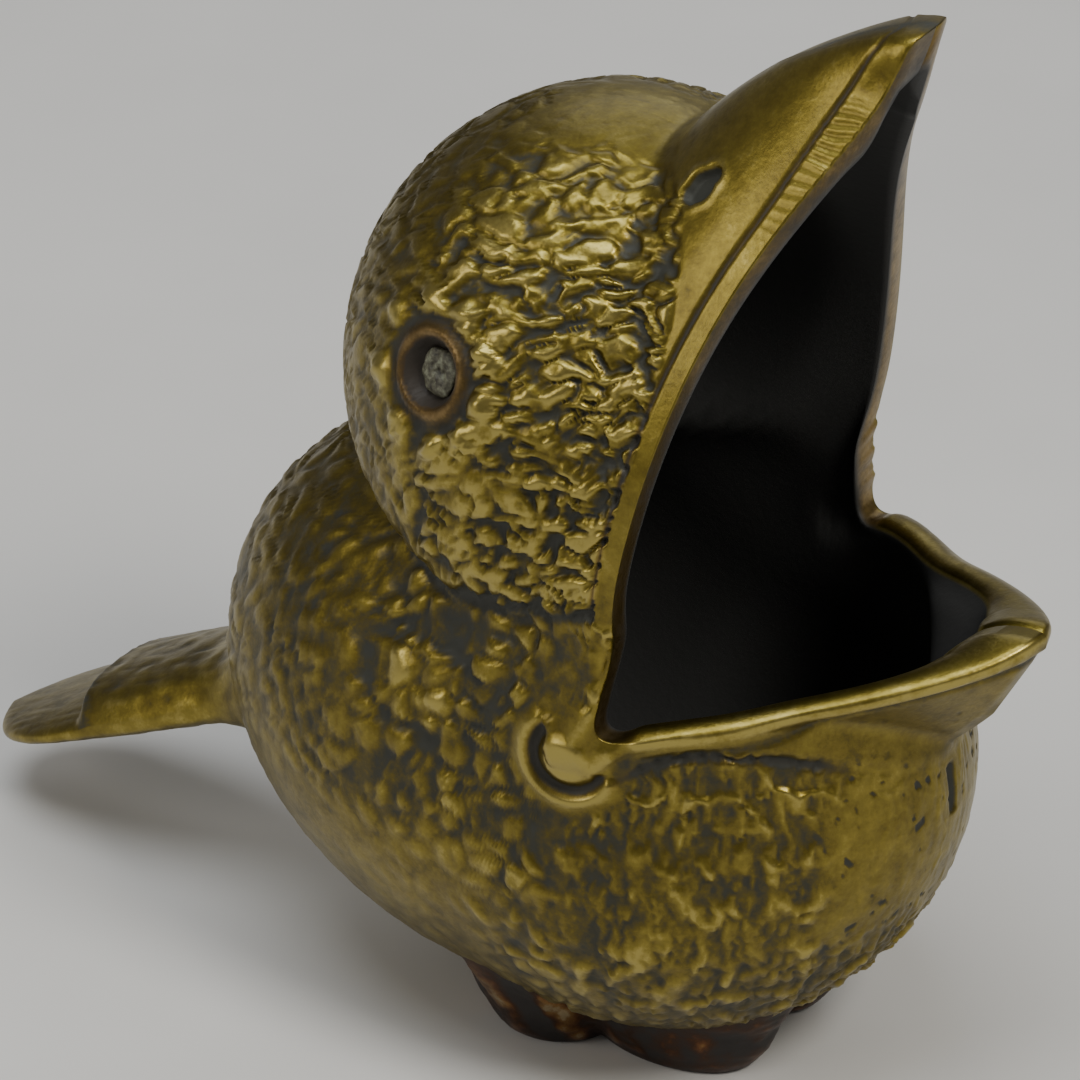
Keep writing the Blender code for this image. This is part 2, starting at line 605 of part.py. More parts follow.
def main():
    for old in list(bpy.data.objects):
        bpy.data.objects.remove(old, do_unlink=True)

    brass = new_material("old_brass", (0.33, 0.23, 0.07), 0.32, 1.0)
    dark_brass = new_material("dark_brass", (0.12, 0.07, 0.04), 0.5, 1.0)
    steel = new_material("steel", (0.35, 0.34, 0.32), 0.4, 1.0)
    plain_brass = new_material("plain_brass", (0.42, 0.31, 0.10), 0.38, 1.0)
    paste = new_material("eye_paste", (0.16, 0.15, 0.11), 0.7, 0.0)

    net = half_directions()
    left = make_half_shell("left_shell", 1, net, brass)
    right = make_half_shell("right_shell", -1, net, brass)
    seat_cutter = make_seat_cutter()

    tail = make_tail(brass)
    make_tail_fixings(steel, plain_brass, (left, right), tail)
    cut(tail, seat_cutter)

    for name, side, shell in (("left", 1, left), ("right", -1, right)):
        foot = make_foot(f"{name}_foot", side, dark_brass)
        cut(foot, seat_cutter)
        make_foot_fixings(f"{name}_foot", side, (steel, plain_brass), shell, foot)
        make_eye(f"{name}_eye", side, paste, shell)


main()
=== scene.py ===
"""The looks of a hollow cast-brass fledgling bird with a gaping bill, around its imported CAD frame.

Shapes are worked out in millimetres in the gape frame: its origin lies midway between the corners
of the mouth, +X is the bird's front and its right side is at -Y. They become metres in the row
frame as each mesh is made. The skin repeats the CAD's formulas at a finer step, and then takes the
relief of the casting: feathers, lip bead, curl at the corner of the mouth, eye, nostril and wear.
"""

import itertools
import math
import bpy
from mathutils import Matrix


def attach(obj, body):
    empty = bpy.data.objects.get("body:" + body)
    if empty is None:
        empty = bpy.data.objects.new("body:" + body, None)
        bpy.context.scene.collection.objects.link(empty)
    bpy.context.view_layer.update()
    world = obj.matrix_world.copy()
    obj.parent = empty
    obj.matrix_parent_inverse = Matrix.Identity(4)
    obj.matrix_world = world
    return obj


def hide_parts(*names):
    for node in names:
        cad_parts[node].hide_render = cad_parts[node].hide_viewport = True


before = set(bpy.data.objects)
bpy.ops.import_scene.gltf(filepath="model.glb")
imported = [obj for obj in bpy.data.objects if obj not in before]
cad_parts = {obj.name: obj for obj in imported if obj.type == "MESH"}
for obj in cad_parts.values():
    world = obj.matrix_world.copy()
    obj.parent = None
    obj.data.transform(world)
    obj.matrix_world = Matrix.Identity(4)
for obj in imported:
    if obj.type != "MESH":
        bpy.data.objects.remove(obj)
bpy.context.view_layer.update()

from types import SimpleNamespace

import bmesh
import bpy
import numpy as np
from mathutils import Vector

MM = 0.001
WALL = 3.0
SOLE_DROP = 49.0
GAPE_FORWARD = 29.178
SEAM = 0.012

# The skin's driving dimensions, as in the CAD.
HEAD_CENTRE, HEAD_RADII, CHEEK_DROP = (-12.7, 0.0, 28.4), (30.0, 28.3, 31.0), 45.0
COLLAR_HEIGHT, COLLAR_MIDDLE, COLLAR_CURVE = 13.5, -15.0, 0.013
COLLAR_RADIUS, COLLAR_SLOPE, COLLAR_ROUNDING = 26.5, 1.0, 2.0
NECK_CENTRE, NECK_RADII = (-6.0, 0.0, 2.0), (30.0, 28.8, 27.0)
BODY_CENTRE, BODY_RADII = (-15.9, 0.0, -12.3), (44.2, 29.7, 34.4)
BREAST_CENTRE, BREAST_RADII = (-2.8, 0.0, -19.5), (25.0, 29.3, 25.0)
BREAST_BLEND, NECK_BLEND, CREASE_BLEND = 6.0, 4.0, 1.2
BILL_RISE, BILL_REACH = 78.4, 23.5
BILL_HALF_WIDTH = 28.2
BILL_TAPER_START, BILL_TAPER_POWER = 17.0, 1.2
BILL_TIP_HALF_WIDTH, BILL_TIP_ROUNDING, BILL_TIP_LENGTH = 3.2, 2.2, 5.5
BILL_LEAN, BILL_HOOK_POWER = 0.09, 4
BILL_DEPTH, BILL_DEPTH_BELOW_TIP, BILL_DEPTH_POWER = 11.5, 10.4, 0.5
BILL_MARGIN_LOW, BILL_MARGIN_RISE = 0.5, 9.0
BILL_MARGIN_START, BILL_MARGIN_RUN = 10.0, 60.0
BILL_BLEND, BILL_BELOW = 2.0, 1.0
LIP_SLOPE = math.radians(16.0)
LIP_LENGTH = 39.3
LIP_HALF_WIDTH, LIP_STEP_IN, LIP_STEP_LENGTH = 29.5, 6.3, 9.0
LIP_TAPER_START, LIP_TAPER_POWER, LIP_TAPER_ROUNDING = 4.0, 1.35, 0.69
LIP_EDGE_SLOPE, LIP_BEHIND, LIP_ABOVE = 0.8, 3.0, 4.0
LIP_BLEND = 1.5
UPPER_RIM, UPPER_RIM_DIP, UPPER_RIM_SPREAD = 81.5, 7.9, 15.0
LOWER_RIM, LOWER_RIM_RISE, LOWER_RIM_SPREAD = 16.3, 1.8, 8.0
LOWER_CORNER_RISE, LOWER_CORNER_START, LOWER_CORNER_LENGTH = 8.0, 50.0, 40.0
CORNER_ANGLE, RIM_SQUARENESS = 84.0, 6.0
CROWN_ANGLE, BELLY_ANGLE = 118.0, 300.0

# The wall: how wide its cut edge is, and how far the solid spout and tip reach back.
EDGE_WIDTH, SPOUT_SOLID, SPOUT_SPREAD, TIP_SOLID, TIP_SPREAD = 2.9, 7.5, 9.0, 6.5, 8.0
STEEPEST_WALL, WALL_SMOOTHINGS = 0.36, 60

# The fine net over one half of the skin.
ALONG, ACROSS = 440, 180
INNER_ALONG, INNER_ACROSS = 4, 5
STRIP_PLACES = (0.06, 0.12, 0.18, 0.25, 0.35, 0.5, 0.65, 0.78, 0.88, 0.96, 1.0)

# Places of the features, in the gape frame.
EYE = (-20.3, 26.0, 37.8)
NOSTRIL_BACK, NOSTRIL_FRONT = (2.1, 11.7, 58.4), (4.1, 10.6, 60.6)
CURL = (-1.7, -0.9)
CURL_OUTER, CURL_INNER, CURL_OPENING = 5.1, 2.6, 52.0
CURL_BEAD = ((9.1, 5.0), (5.6, 3.4), (2.8, 0.3), (0.6, -2.0))
CURL_STRIP = ((2.2, 20.0), (2.2, 13.0), (1.5, 7.0), (0.2, 3.8), (-0.8, 1.6))
EYE_BEAD_TURNS = (-78.0, -44.0, -8.0, 28.0, 64.0, 104.0, 150.0, 200.0, 244.0)
EYE_BEAD_RING, EYE_BEAD_SIDE = 7.6, 25.4
PASTE_RADIUS, PASTE_HEIGHT, PASTE_SINK = 2.5, 0.95, 1.85
FILE_MARK_PITCH = 1.05
LUMP = (-20.5, 1.0)
WING = (-27.0, 1.0)

TAIL_ROOT, TAIL_DROOP = (-54.2, -22.6), math.radians(25.0)
TAIL_LENGTH, TAIL_END_LENGTH = 45.3, 15.0
TAIL_ROOT_HALF_WIDTH, TAIL_HALF_WIDTH = 8.8, 10.2
TAIL_HALF_THICKNESS, TAIL_TIP_HALF_THICKNESS = 2.9, 1.3
TAIL_FLARE, TAIL_FLARE_LENGTH = 3.0, 10.0
TAIL_WIDENING, TAIL_END_POWER, TAIL_SQUARENESS = 22.0, 2.2, 0.8
SADDLE_LENGTH, SADDLE_STEP_LENGTH, SADDLE_HEIGHT = 27.0, 2.0, 2.6

HIND_LOBE, HIND_LOBE_RADII = (-15.0, 8.9), (6.6, 6.4)
FRONT_LOBE, FRONT_LOBE_RADII = (-1.5, 6.8), (9.5, 5.4)
FOOT_CENTRE = (-9.0, 8.0)
FOOT_TOP, FOOT_SPREAD = -33.0, 0.55


# ---------------------------------------------------------------- numbers and noise

def smooth_step(value):
    """0 to 1 with flat ends."""
    value = np.clip(value, 0.0, 1.0)
    return value * value * (3.0 - 2.0 * value)


def rising(value, start, length):
    """0 up to a start, then smoothly up to 1 over a length."""
    return smooth_step((value - start) / length)


def falling(value, end, length):
    """1, then smoothly down to 0 over a length before an end."""
    return smooth_step((end - value) / length)


def ridge(distance, half_width):
    """A rounded ridge of height 1 along the line where a distance is 0."""
    return np.exp(-((distance / half_width) ** 2))


def scatter(corner, salt):
    """Three repeatable numbers from 0 to 1 for each whole-number place."""
    corner = corner.astype(np.int64).astype(np.uint32)
    mixed = corner[..., 0] * np.uint32(73856093) ^ corner[..., 1] * np.uint32(19349663)
    mixed = mixed ^ corner[..., 2] * np.uint32(83492791) ^ np.uint32(salt * 2654435 + 97)
    numbers = []
    for _ in range(3):
        mixed = (mixed ^ (mixed >> np.uint32(15))) * np.uint32(2246822519)
        mixed = (mixed ^ (mixed >> np.uint32(13))) * np.uint32(3266489917)
        numbers.append((mixed >> np.uint32(8)) / float(1 << 24))
    return np.stack(numbers, -1)


def noise(points, size, salt=0):
    """Smooth noise from about -1 to 1, with lumps of a size in millimetres."""
    scaled = points / np.asarray(size, float)
    cell = np.floor(scaled)
    inside = scaled - cell
    weight = inside**3 * (inside * (inside * 6.0 - 15.0) + 10.0)
    total = 0.0
    for corner in itertools.product((0.0, 1.0), repeat=3):
        corner = np.array(corner)
        slope = scatter(cell + corner, salt) * 2.0 - 1.0
        share = np.prod(np.where(corner == 1.0, weight, 1.0 - weight), axis=-1)
        total = total + share * ((inside - corner) * slope).sum(-1)
    return total * 1.6


def cells(points, size, salt=0, spread=0.9):
    """Distances to the nearest and the second of scattered spots, in lump sizes."""
    scaled = points / np.asarray(size, float)
    base = np.floor(scaled)
    nearest = np.full(points.shape[:-1], 9.0)
    second = nearest.copy()
    for offset in itertools.product((-1.0, 0.0, 1.0), repeat=3):
        corner = base + np.array(offset)
        spot = corner + 0.5 + spread * (scatter(corner, salt) - 0.5)
        away = np.linalg.norm(scaled - spot, axis=-1)
        second = np.minimum(second, np.maximum(nearest, away))
        nearest = np.minimum(nearest, away)
    return nearest, second


def path_distance(first, second, path):
    """Distance in a plane from points to a path of straight steps."""
    best = np.full(first.shape, 99.0)
    for (x0, z0), (x1, z1) in zip(path, path[1:]):
        run, rise = x1 - x0, z1 - z0
        share = ((first - x0) * run + (second - z0) * rise) / (run * run + rise * rise)
        share = np.clip(share, 0.0, 1.0)
        best = np.minimum(best, np.hypot(first - x0 - share * run, second - z0 - share * rise))
    return best


# ---------------------------------------------------------------- the skin's plain shape

def ellipsoid(points, centre, radii):
    """About the distance outside an ellipsoid, negative inside."""
    offset = points - np.array(centre)
    scaled = np.linalg.norm(offset / np.array(radii), axis=-1)
    slope = np.linalg.norm(offset / np.array(radii) ** 2, axis=-1) + 1e-9
    return scaled * (scaled - 1.0) / slope


def join(first, second, blend):
    """The union of two shapes, with a fillet of the given size where they meet."""
    share = np.clip(0.5 + 0.5 * (second - first) / blend, 0.0, 1.0)
    return second * (1.0 - share) + first * share - blend * share * (1.0 - share)


def upper_bill(points):
    """Arch-shaped bill: its level sections are half ellipses with their flat side forward."""
    x, y, z = np.moveaxis(points, -1, 0)
    rise = np.clip(z / BILL_RISE, 0.0, None)
    front = BILL_LEAN * z + (BILL_REACH - BILL_LEAN * BILL_RISE) * rise**BILL_HOOK_POWER
    taper = np.clip((z - BILL_TAPER_START) / (BILL_RISE - BILL_TAPER_START), 0.0, 0.9999)
    below = np.clip(BILL_RISE - z, 0.0, None)
    blunt = np.sqrt(1.0 - np.clip(1.0 - below / BILL_TIP_ROUNDING, 0.0, 1.0) ** 2)
    blunt = BILL_TIP_HALF_WIDTH * blunt * np.exp(-((below / BILL_TIP_LENGTH) ** 2))
    width = BILL_HALF_WIDTH * (1.0 - taper**2) ** BILL_TAPER_POWER + blunt
    depth = BILL_DEPTH * (below / BILL_DEPTH_BELOW_TIP) ** BILL_DEPTH_POWER + 0.01
    back = np.clip((front - x) / depth, 0.0, None)
    scaled = np.hypot(back, y / width)
    side = scaled * (scaled - 1.0) / (np.hypot(back / depth, y / width**2) + 1e-9)
    share = np.clip((z - BILL_MARGIN_START) / BILL_MARGIN_RUN, 0.0, 1.0)
    margin = BILL_MARGIN_LOW + BILL_MARGIN_RISE * share
    return np.maximum.reduce([side, z - BILL_RISE, -z - BILL_BELOW, x - front - margin])


def lower_bill(points):
    """Spade-shaped scoop below the lower rim, narrowing downwards."""
    x, y, z = np.moveaxis(points, -1, 0)
    along = x * math.cos(LIP_SLOPE) + z * math.sin(LIP_SLOPE)
    below = x * math.sin(LIP_SLOPE) - z * math.cos(LIP_SLOPE)
    start = LIP_HALF_WIDTH - LIP_STEP_IN * smooth_step(along / LIP_STEP_LENGTH)
    run = np.clip(along - LIP_TAPER_START, 0.0, None) / (LIP_LENGTH - LIP_TAPER_START)
    width = start * np.clip(1.0 - run**LIP_TAPER_POWER, 0.0, 1.0) ** LIP_TAPER_ROUNDING
    outline = np.maximum(LIP_EDGE_SLOPE * (np.abs(y) - width), along - LIP_LENGTH)
    scoop = outline + np.clip(below, 0.0, None)
    return np.maximum.reduce([scoop, -along - LIP_BEHIND, -below - LIP_ABOVE])


def head_ball(points):
    """A ball with full cheeks, which ends below at a sloping collar round the neck."""
    x, y, z = np.moveaxis(points, -1, 0)
    ball = ellipsoid(points, HEAD_CENTRE, HEAD_RADII)
    cheeks = ellipsoid(points, HEAD_CENTRE, (*HEAD_RADII[:2], CHEEK_DROP))
    ball = np.where(z > HEAD_CENTRE[2], ball, cheeks)
    outward = np.hypot(x - HEAD_CENTRE[0], y) - COLLAR_RADIUS
    collar = COLLAR_HEIGHT + COLLAR_CURVE * (x - COLLAR_MIDDLE) ** 2 + COLLAR_SLOPE * outward
    under = (z - collar) / math.hypot(1.0, COLLAR_SLOPE)
    return -join(-ball, under, COLLAR_ROUNDING)


def body_shape(points):
    """Body, breast and neck, joined with fillets."""
    body = ellipsoid(points, BODY_CENTRE, BODY_RADII)
    body = join(body, ellipsoid(points, BREAST_CENTRE, BREAST_RADII), BREAST_BLEND)
    return join(body, ellipsoid(points, NECK_CENTRE, NECK_RADII), NECK_BLEND)


def skin(points):
    """About the distance outside the bird's skin, negative inside."""
    head = join(head_ball(points), upper_bill(points), BILL_BLEND)
    body = join(body_shape(points), lower_bill(points), LIP_BLEND)
    return join(head, body, CREASE_BLEND)


def narrowed(near, far, stays_near, halvings=24):
    """Values between near and far ones, at the edge of where a test holds."""
    for _ in range(halvings):
        middle = (near + far) / 2.0
        kept = stays_near(middle)
        near, far = np.where(kept, middle, near), np.where(kept, far, middle)
    return near


def reach(directions, nearest=20.0, furthest=84.0, steps=200, halvings=12):
    """How far from the gape the skin's outermost surface lies in each direction."""
    radii = np.linspace(nearest, furthest, steps)
    inside = np.stack([skin(directions * radius) < 0.0 for radius in radii])
    last = steps - 1 - np.argmax(inside[::-1], axis=0)
    near, far = radii[last], radii[np.minimum(last + 1, steps - 1)]
    radii = narrowed(near, far, lambda middle: skin(directions * middle[..., None]) < 0.0, halvings)
    return radii[..., None]


def rim_distance(points):
    """How far each point of the net lies from the mouth's rim, over the skin."""
    steps = np.linalg.norm(np.diff(points, axis=1), axis=-1)
    return np.concatenate([np.zeros((ALONG + 1, 1)), np.cumsum(steps, axis=1)], axis=1)


def neighbour_mean(padded):
    """The mean of the four neighbours of each value in a net that has a border round it."""
    return (padded[:-2, 1:-1] + padded[2:, 1:-1] + padded[1:-1, :-2] + padded[1:-1, 2:]) / 4.0


def corner_share(points):
    """How strongly each point is smoothed: fully where the neck crease meets the mouth's corner."""
    share = ridge(points[..., 2] - 13.5, 7.0) * rising(points[..., 1], 15.0, 5.0)
    share = 1.6 * share * smooth_step((10.0 - rim_distance(points)) / 6.0)
    return np.clip(share, 0.0, 1.0)[..., None]


def eased(values, share, passes=260):
    """Values of the net smoothed with their neighbours; the rim is smoothed only along itself."""
    for _ in range(passes):
        padded = np.pad(values, ((1, 1), (1, 1), (0, 0)), mode="reflect", reflect_type="odd")
        values = values + share * (neighbour_mean(padded) - values)
    return values


def outward(points, nudge=0.05):
    """The skin's outward direction near each point."""
    steps = np.eye(3) * nudge
    slope = np.stack([skin(points + step) - skin(points - step) for step in steps], -1)
    return slope / (np.linalg.norm(slope, axis=-1, keepdims=True) + 1e-12)


def direction(turn, spread):
    """Unit directions from a turn about the gape line and a spread towards its +Y end."""
    turn, spread = np.radians(turn), np.radians(spread)
    level = np.cos(spread)
    return np.stack([level * np.cos(turn), np.sin(spread), level * np.sin(turn)], -1)


def rim_directions(share):
    """Along the mouth's rim, from the tip of the upper bill, round the corner, to the spout."""
    cosine, sine = np.cos(np.pi * share), np.sin(np.pi * share)
    power = 2.0 / RIM_SQUARENESS
    spread = CORNER_ANGLE * np.abs(sine) ** power
    side = np.sign(cosine) * np.abs(cosine) ** power
    upper = UPPER_RIM - UPPER_RIM_DIP / (1.0 + (spread / UPPER_RIM_SPREAD) ** 2)
    lower = LOWER_RIM + LOWER_RIM_RISE / (1.0 + (spread / LOWER_RIM_SPREAD) ** 2)
    corner = smooth_step((spread - LOWER_CORNER_START) / LOWER_CORNER_LENGTH)
    lower = lower + LOWER_CORNER_RISE * corner
    return direction((upper + lower) / 2.0 + side * (upper - lower) / 2.0, spread)


def evenly(curve, count, fine=3000):
    """Directions at even distances over the skin along a curve of directions."""
    fine_directions = curve(np.linspace(0.0, 1.0, fine))
    points = fine_directions * reach(fine_directions)
    lengths = np.linalg.norm(np.diff(points, axis=0), axis=1)
    travelled = np.concatenate([[0.0], np.cumsum(lengths)])
    even = np.linspace(0.0, travelled[-1], count + 1)
    return curve(np.interp(even, travelled, np.linspace(0.0, 1.0, fine)))


def half_net():
    """A four-sided net of directions over the +Y half, from the rim to the middle of the bird."""
    tip = UPPER_RIM - UPPER_RIM_DIP
    spout = 360.0 + LOWER_RIM + LOWER_RIM_RISE

    def middle(start, end, count):
        return evenly(lambda share: direction(start + (end - start) * share, 0.0 * share), count)

    rim = evenly(rim_directions, ALONG)
    back = middle(CROWN_ANGLE, BELLY_ANGLE, ALONG)
    top = middle(tip, CROWN_ANGLE, ACROSS)
    front = middle(spout, BELLY_ANGLE, ACROSS)
    t = np.linspace(0.0, 1.0, ALONG + 1)[:, None, None]
    q = np.linspace(0.0, 1.0, ACROSS + 1)[None, :, None]
    sides = (1 - q) * rim[:, None] + q * back[:, None] + (1 - t) * top[None] + t * front[None]
    corners = (1 - t) * ((1 - q) * rim[0] + q * back[0]) + t * ((1 - q) * rim[-1] + q * back[-1])
    net = sides - corners
    return net / np.linalg.norm(net, axis=-1, keepdims=True)


def wall_depths(net, points, normals):
    """How thick the wall is along each ray from the gape, smoothed over the skin."""
    slant = np.clip((normals * net).sum(-1), STEEPEST_WALL, 1.0)
    depth = WALL / slant
    tangent = np.gradient(points[:, 0], axis=0)
    tangent /= np.linalg.norm(tangent, axis=-1, keepdims=True) + 1e-12
    along = (tangent * net[:, 0]).sum(-1)
    edge = EDGE_WIDTH / np.sqrt(np.clip(1.0 - along**2, 0.25, 1.0))
    solid_ends = ((points[-1, 0], SPOUT_SOLID, SPOUT_SPREAD), (points[0, 0], TIP_SOLID, TIP_SPREAD))
    for end, solid, spread in solid_ends:
        edge = edge + (solid - WALL) * ridge(np.linalg.norm(points[:, 0] - end, axis=-1), spread)
    for _ in range(WALL_SMOOTHINGS):
        edge[1:-1] = (edge[:-2] + 2.0 * edge[1:-1] + edge[2:]) / 4.0
    for _ in range(WALL_SMOOTHINGS):
        depth[:, 0] = edge
        depth = neighbour_mean(np.pad(depth, 1, mode="edge"))
    depth[:, 0] = edge
    return depth


# ---------------------------------------------------------------- the skin's relief

def head_feathers(points):
    """Tangled raised dashes with sunk ground between them, from -1 to 1."""
    bent = points + 1.5 * np.stack([noise(points, 4.5, salt) for salt in (1, 2, 3)], -1)
    tilt = math.radians(14.0)
    level = np.stack([
        bent[..., 0] * math.cos(tilt) + bent[..., 2] * math.sin(tilt),
        bent[..., 1],
        bent[..., 2] * math.cos(tilt) - bent[..., 0] * math.sin(tilt),
    ], -1)
    nearest, second = cells(level, (4.4, 4.4, 1.7), 11)
    lumps = smooth_step((second - nearest) / 0.36)
    strokes = noise(level, (3.2, 3.2, 1.05), 5)
    upright = noise(bent, (1.5, 1.5, 3.6), 6)
    low = falling(points[..., 2], 27.0, 9.0)
    strokes = strokes * (1.0 - low) + upright * low
    crests = 1.0 - np.clip(np.abs(noise(level, (3.6, 3.6, 1.5), 7)) / 0.30, 0.0, 1.0)
    mixed = 0.80 * lumps + 0.55 * strokes + 0.55 * crests + 0.25 * noise(points, 0.9, 8) - 0.48
    return np.clip(smooth_step(0.5 + 0.75 * mixed) * 2.0 - 1.0, -1.0, 1.0)


def breast_scales(points):
    """Hanging U-shaped feathers with raised edges, in staggered rows, from -1 to 1."""
    around = np.arctan2(points[..., 1], points[..., 0] + 3.0) * 27.0
    around = around + 2.6 * noise(points, 7.0, 21) + 0.9 * noise(points, 2.4, 25)
    row_place = -(points[..., 2] + 2.6 * noise(points, 9.0, 22) + 0.8 * noise(points, 2.6, 26)) / 6.6
    row = np.floor(row_place)
    down = row_place - row
    column = around / 5.0 + 0.5 * np.mod(row, 2.0)
    across = column - np.floor(column) - 0.5
    bowl = np.hypot(across / 0.42, np.clip(down - 0.45, 0.0, None) / 0.42) - 1.0
    broken = smooth_step(0.45 + 1.6 * noise(points, 3.2, 24))
    bent = points + 1.1 * np.stack([noise(points, 3.4, salt) for salt in (27, 28, 29)], -1)
    nearest, second = cells(bent, (1.6, 1.6, 4.9), 30)
    tufts = smooth_step((second - nearest) / 0.40)
    strokes = noise(bent, (0.85, 0.85, 3.8), 23)
    return np.clip(1.45 * ridge(bowl, 0.26) * broken + 0.75 * tufts + 0.85 * strokes - 0.82, -1.0, 1.0)


def flank_leaves(points):
    """Low worn leaf-like lumps, from -1 to 1."""
    bent = points + 1.8 * np.stack([noise(points, 6.0, salt) for salt in (31, 32, 33)], -1)
    nearest, second = cells(bent, (3.6, 3.6, 3.2), 34)
    lumps = smooth_step((second - nearest) / 0.45)
    return np.clip(1.3 * lumps + 0.7 * noise(bent, 1.5, 35) - 0.75, -1.0, 1.0)


def places(points, from_rim):
    """Where each kind of surface lies on the skin, as shares from 0 to 1."""
    x, side, z = points[..., 0], np.abs(points[..., 1]), points[..., 2]
    at = SimpleNamespace(x=x, side=side, z=z, from_rim=from_rim)
    from_crease = body_shape(points) - head_ball(points)
    at.head = smooth_step(0.5 + from_crease / 1.2)
    at.crease = smooth_step(1.0 - np.abs(from_crease) / 1.6) * (z < 26.0)

    # Where the feathers stop: at the bill, on the crown, and at the lip's smooth band.
    feather_edge = 4.7 - np.where(z > 46.0, 0.0246, 0.0034) * (z - 46.0) ** 2
    at.bill = smooth_step(0.5 + (x - feather_edge) / 0.9) * rising(z, 14.0, 4.0)
    at.crown = smooth_step((z - 56.6 + 1.3 * noise(points, 5.0, 41)) / 2.0) * rising(x, -32.0, 8.0)
    at_mouth = falling(z, 17.0, 5.0)
    band_edge = 1.4 - np.where(x < 11.5, 0.055, 0.028) * (x - 11.5) ** 2
    at.band = smooth_step((z - band_edge) / 1.5 + 0.4) * rising(x, 2.6, 1.2)
    at.band = at.band * (1.0 - at.bill) * at_mouth
    at.lip = rising(x, 4.0, 2.5) * (1.0 - at.bill) * at_mouth
    at.below_band = ridge((z - band_edge + 0.7) / 0.7, 0.8) * rising(x, 2.0, 2.0) * at_mouth
    at.below_band = at.below_band * (1.0 - rising(x, 20.0, 4.0)) * (1.0 - at.bill)

    # Worn and bare places: the middle of the breast, a patch above the curl, the low flank.
    at.front = smooth_step((x - 19.0 + 2.0 * noise(points, 6.0, 42)) / 4.0) * rising(z, -30.0, 9.0)
    at.bald = ridge(x + 1.0, 5.0) * ridge(z - 10.5, 4.6) * rising(side, 20.0, 5.0)
    at.bald = at.bald * (1.0 - at.head) * smooth_step(0.9 + 0.8 * noise(points, 3.0, 47))
    at.low_flank = rising(-z, 10.0, 8.0) * falling(x, 6.0, 10.0) * (1.0 - at.head)

    # The filed band along the upper bill's edge, and the fine groove behind it.
    on_upper = rising(z, 14.0, 4.0)
    filed_width = 2.3 + 1.3 * rising(z, 58.0, 12.0)
    at.filed = smooth_step((filed_width - from_rim) / 0.5) * on_upper
    at.behind_filed = ridge(from_rim - filed_width - 0.1, 0.24) * on_upper
    at.behind_filed = at.behind_filed * rising(side, 1.2, 1.5)

    pits = smooth_step((noise(points, 1.1, 44) + 0.6 * noise(points, 4.0, 45) - 0.62) / 0.3)
    at.pits = pits * at.front * (1.0 - at.band * 0.8)
    # The seam is open only in a slot under the spout.
    at.slot = ridge(side, 0.34) * smooth_step(z + 13.0) * smooth_step(-6.6 - z) * (x > 0)
    return at


def feathers(points, at):
    """Height of the feathers on the head, the breast and the flank."""
    rear = rising(-at.x, 18.0, 10.0)
    high = rising(at.z, 48.0, 10.0)
    tall = 0.46 * (1.0 - 0.93 * at.crown) * (1.0 - 0.6 * rear) * (1.0 - 0.45 * high)
    height = tall * at.head * (1.0 - at.bill) * head_feathers(points)
    off_head = (1.0 - at.head) * (1.0 - at.band) * (1.0 - 0.75 * at.bald) * (1.0 - at.bill)
    at_breast = rising(at.x, -6.0, 8.0)
    breast = 0.36 * (1.0 - 0.85 * at.front) * at_breast * rising(at.z, -44.0, 8.0)
    low_back = rising(-at.z, 12.0, 9.0) * rising(-at.x, 8.0, 8.0)
    flank = 0.42 - 0.20 * rising(-at.x, 24.0, 8.0)
    flank = flank * (1.0 - at_breast) * (1.0 - 0.75 * low_back)
    return height + off_head * (breast * breast_scales(points) + flank * flank_leaves(points))


def wing(points, at):
    """Height of the wing: a rounded shoulder with worn arcs behind it."""
    shoulder = np.hypot((at.x - LUMP[0]) / 6.5, (at.z - LUMP[1]) / 4.6)
    lump = 0.42 * smooth_step(1.25 - shoulder) * (0.8 + 0.5 * noise(points, 2.0, 46))
    lump = lump - 0.25 * ridge(shoulder - 1.25, 0.16)
    arcs = np.hypot(at.x - WING[0], 0.9 * (at.z - WING[1]))
    at_arcs = rising(-at.x, 29.0, 3.0) * rising(arcs, 6.0, 3.0)
    at_arcs = at_arcs * falling(arcs, 20.0, 4.0)
    barbs = 0.14 * np.cos(2.0 * math.pi * arcs / 2.3 + 1.5 * noise(points, 6.0, 43))
    return rising(at.side, 12.0, 8.0) * (1.0 - at.head) * (lump + at_arcs * barbs)


def curl(at):
    """The curl at the mouth's corner: its raised rings, the groove between them and its ground."""
    at_side = rising(at.side, 20.0, 5.0)
    radius = np.hypot(at.x - CURL[0], at.z - CURL[1])
    angle = np.degrees(np.arctan2(at.z - CURL[1], at.x - CURL[0]))
    from_opening = np.abs((angle - CURL_OPENING + 180.0) % 360.0 - 180.0)
    ring = rising(from_opening, 66.0, 14.0)
    raised = np.maximum.reduce([
        0.62 * ridge(radius - CURL_OUTER, 0.85) * ring,
        0.72 * smooth_step((CURL_INNER + 1.0 - radius) / 1.6),
        0.58 * ridge(path_distance(at.x, at.z, CURL_BEAD), 1.1),
        0.45 * ridge(path_distance(at.x, at.z, CURL_STRIP), 0.9),
    ])
    groove = at_side * ridge(radius - 3.95, 0.55) * ring
    return at_side * raised, groove, at_side * falling(radius, 7.6, 1.4)


def nostril_leaf(mirrored):
    """Distance outside the nostril's slanted leaf shape, negative inside."""
    back_end, front_end = np.array(NOSTRIL_BACK), np.array(NOSTRIL_FRONT)
    run = front_end - back_end
    share = np.clip(((mirrored - back_end) @ run) / (run @ run), 0.0, 1.0)
    away = np.linalg.norm(mirrored - back_end - share[..., None] * run, axis=-1)
    return away - 1.15 - 0.75 * np.sin(math.pi * np.clip(share * 0.9 + 0.15, 0.0, 1.0))


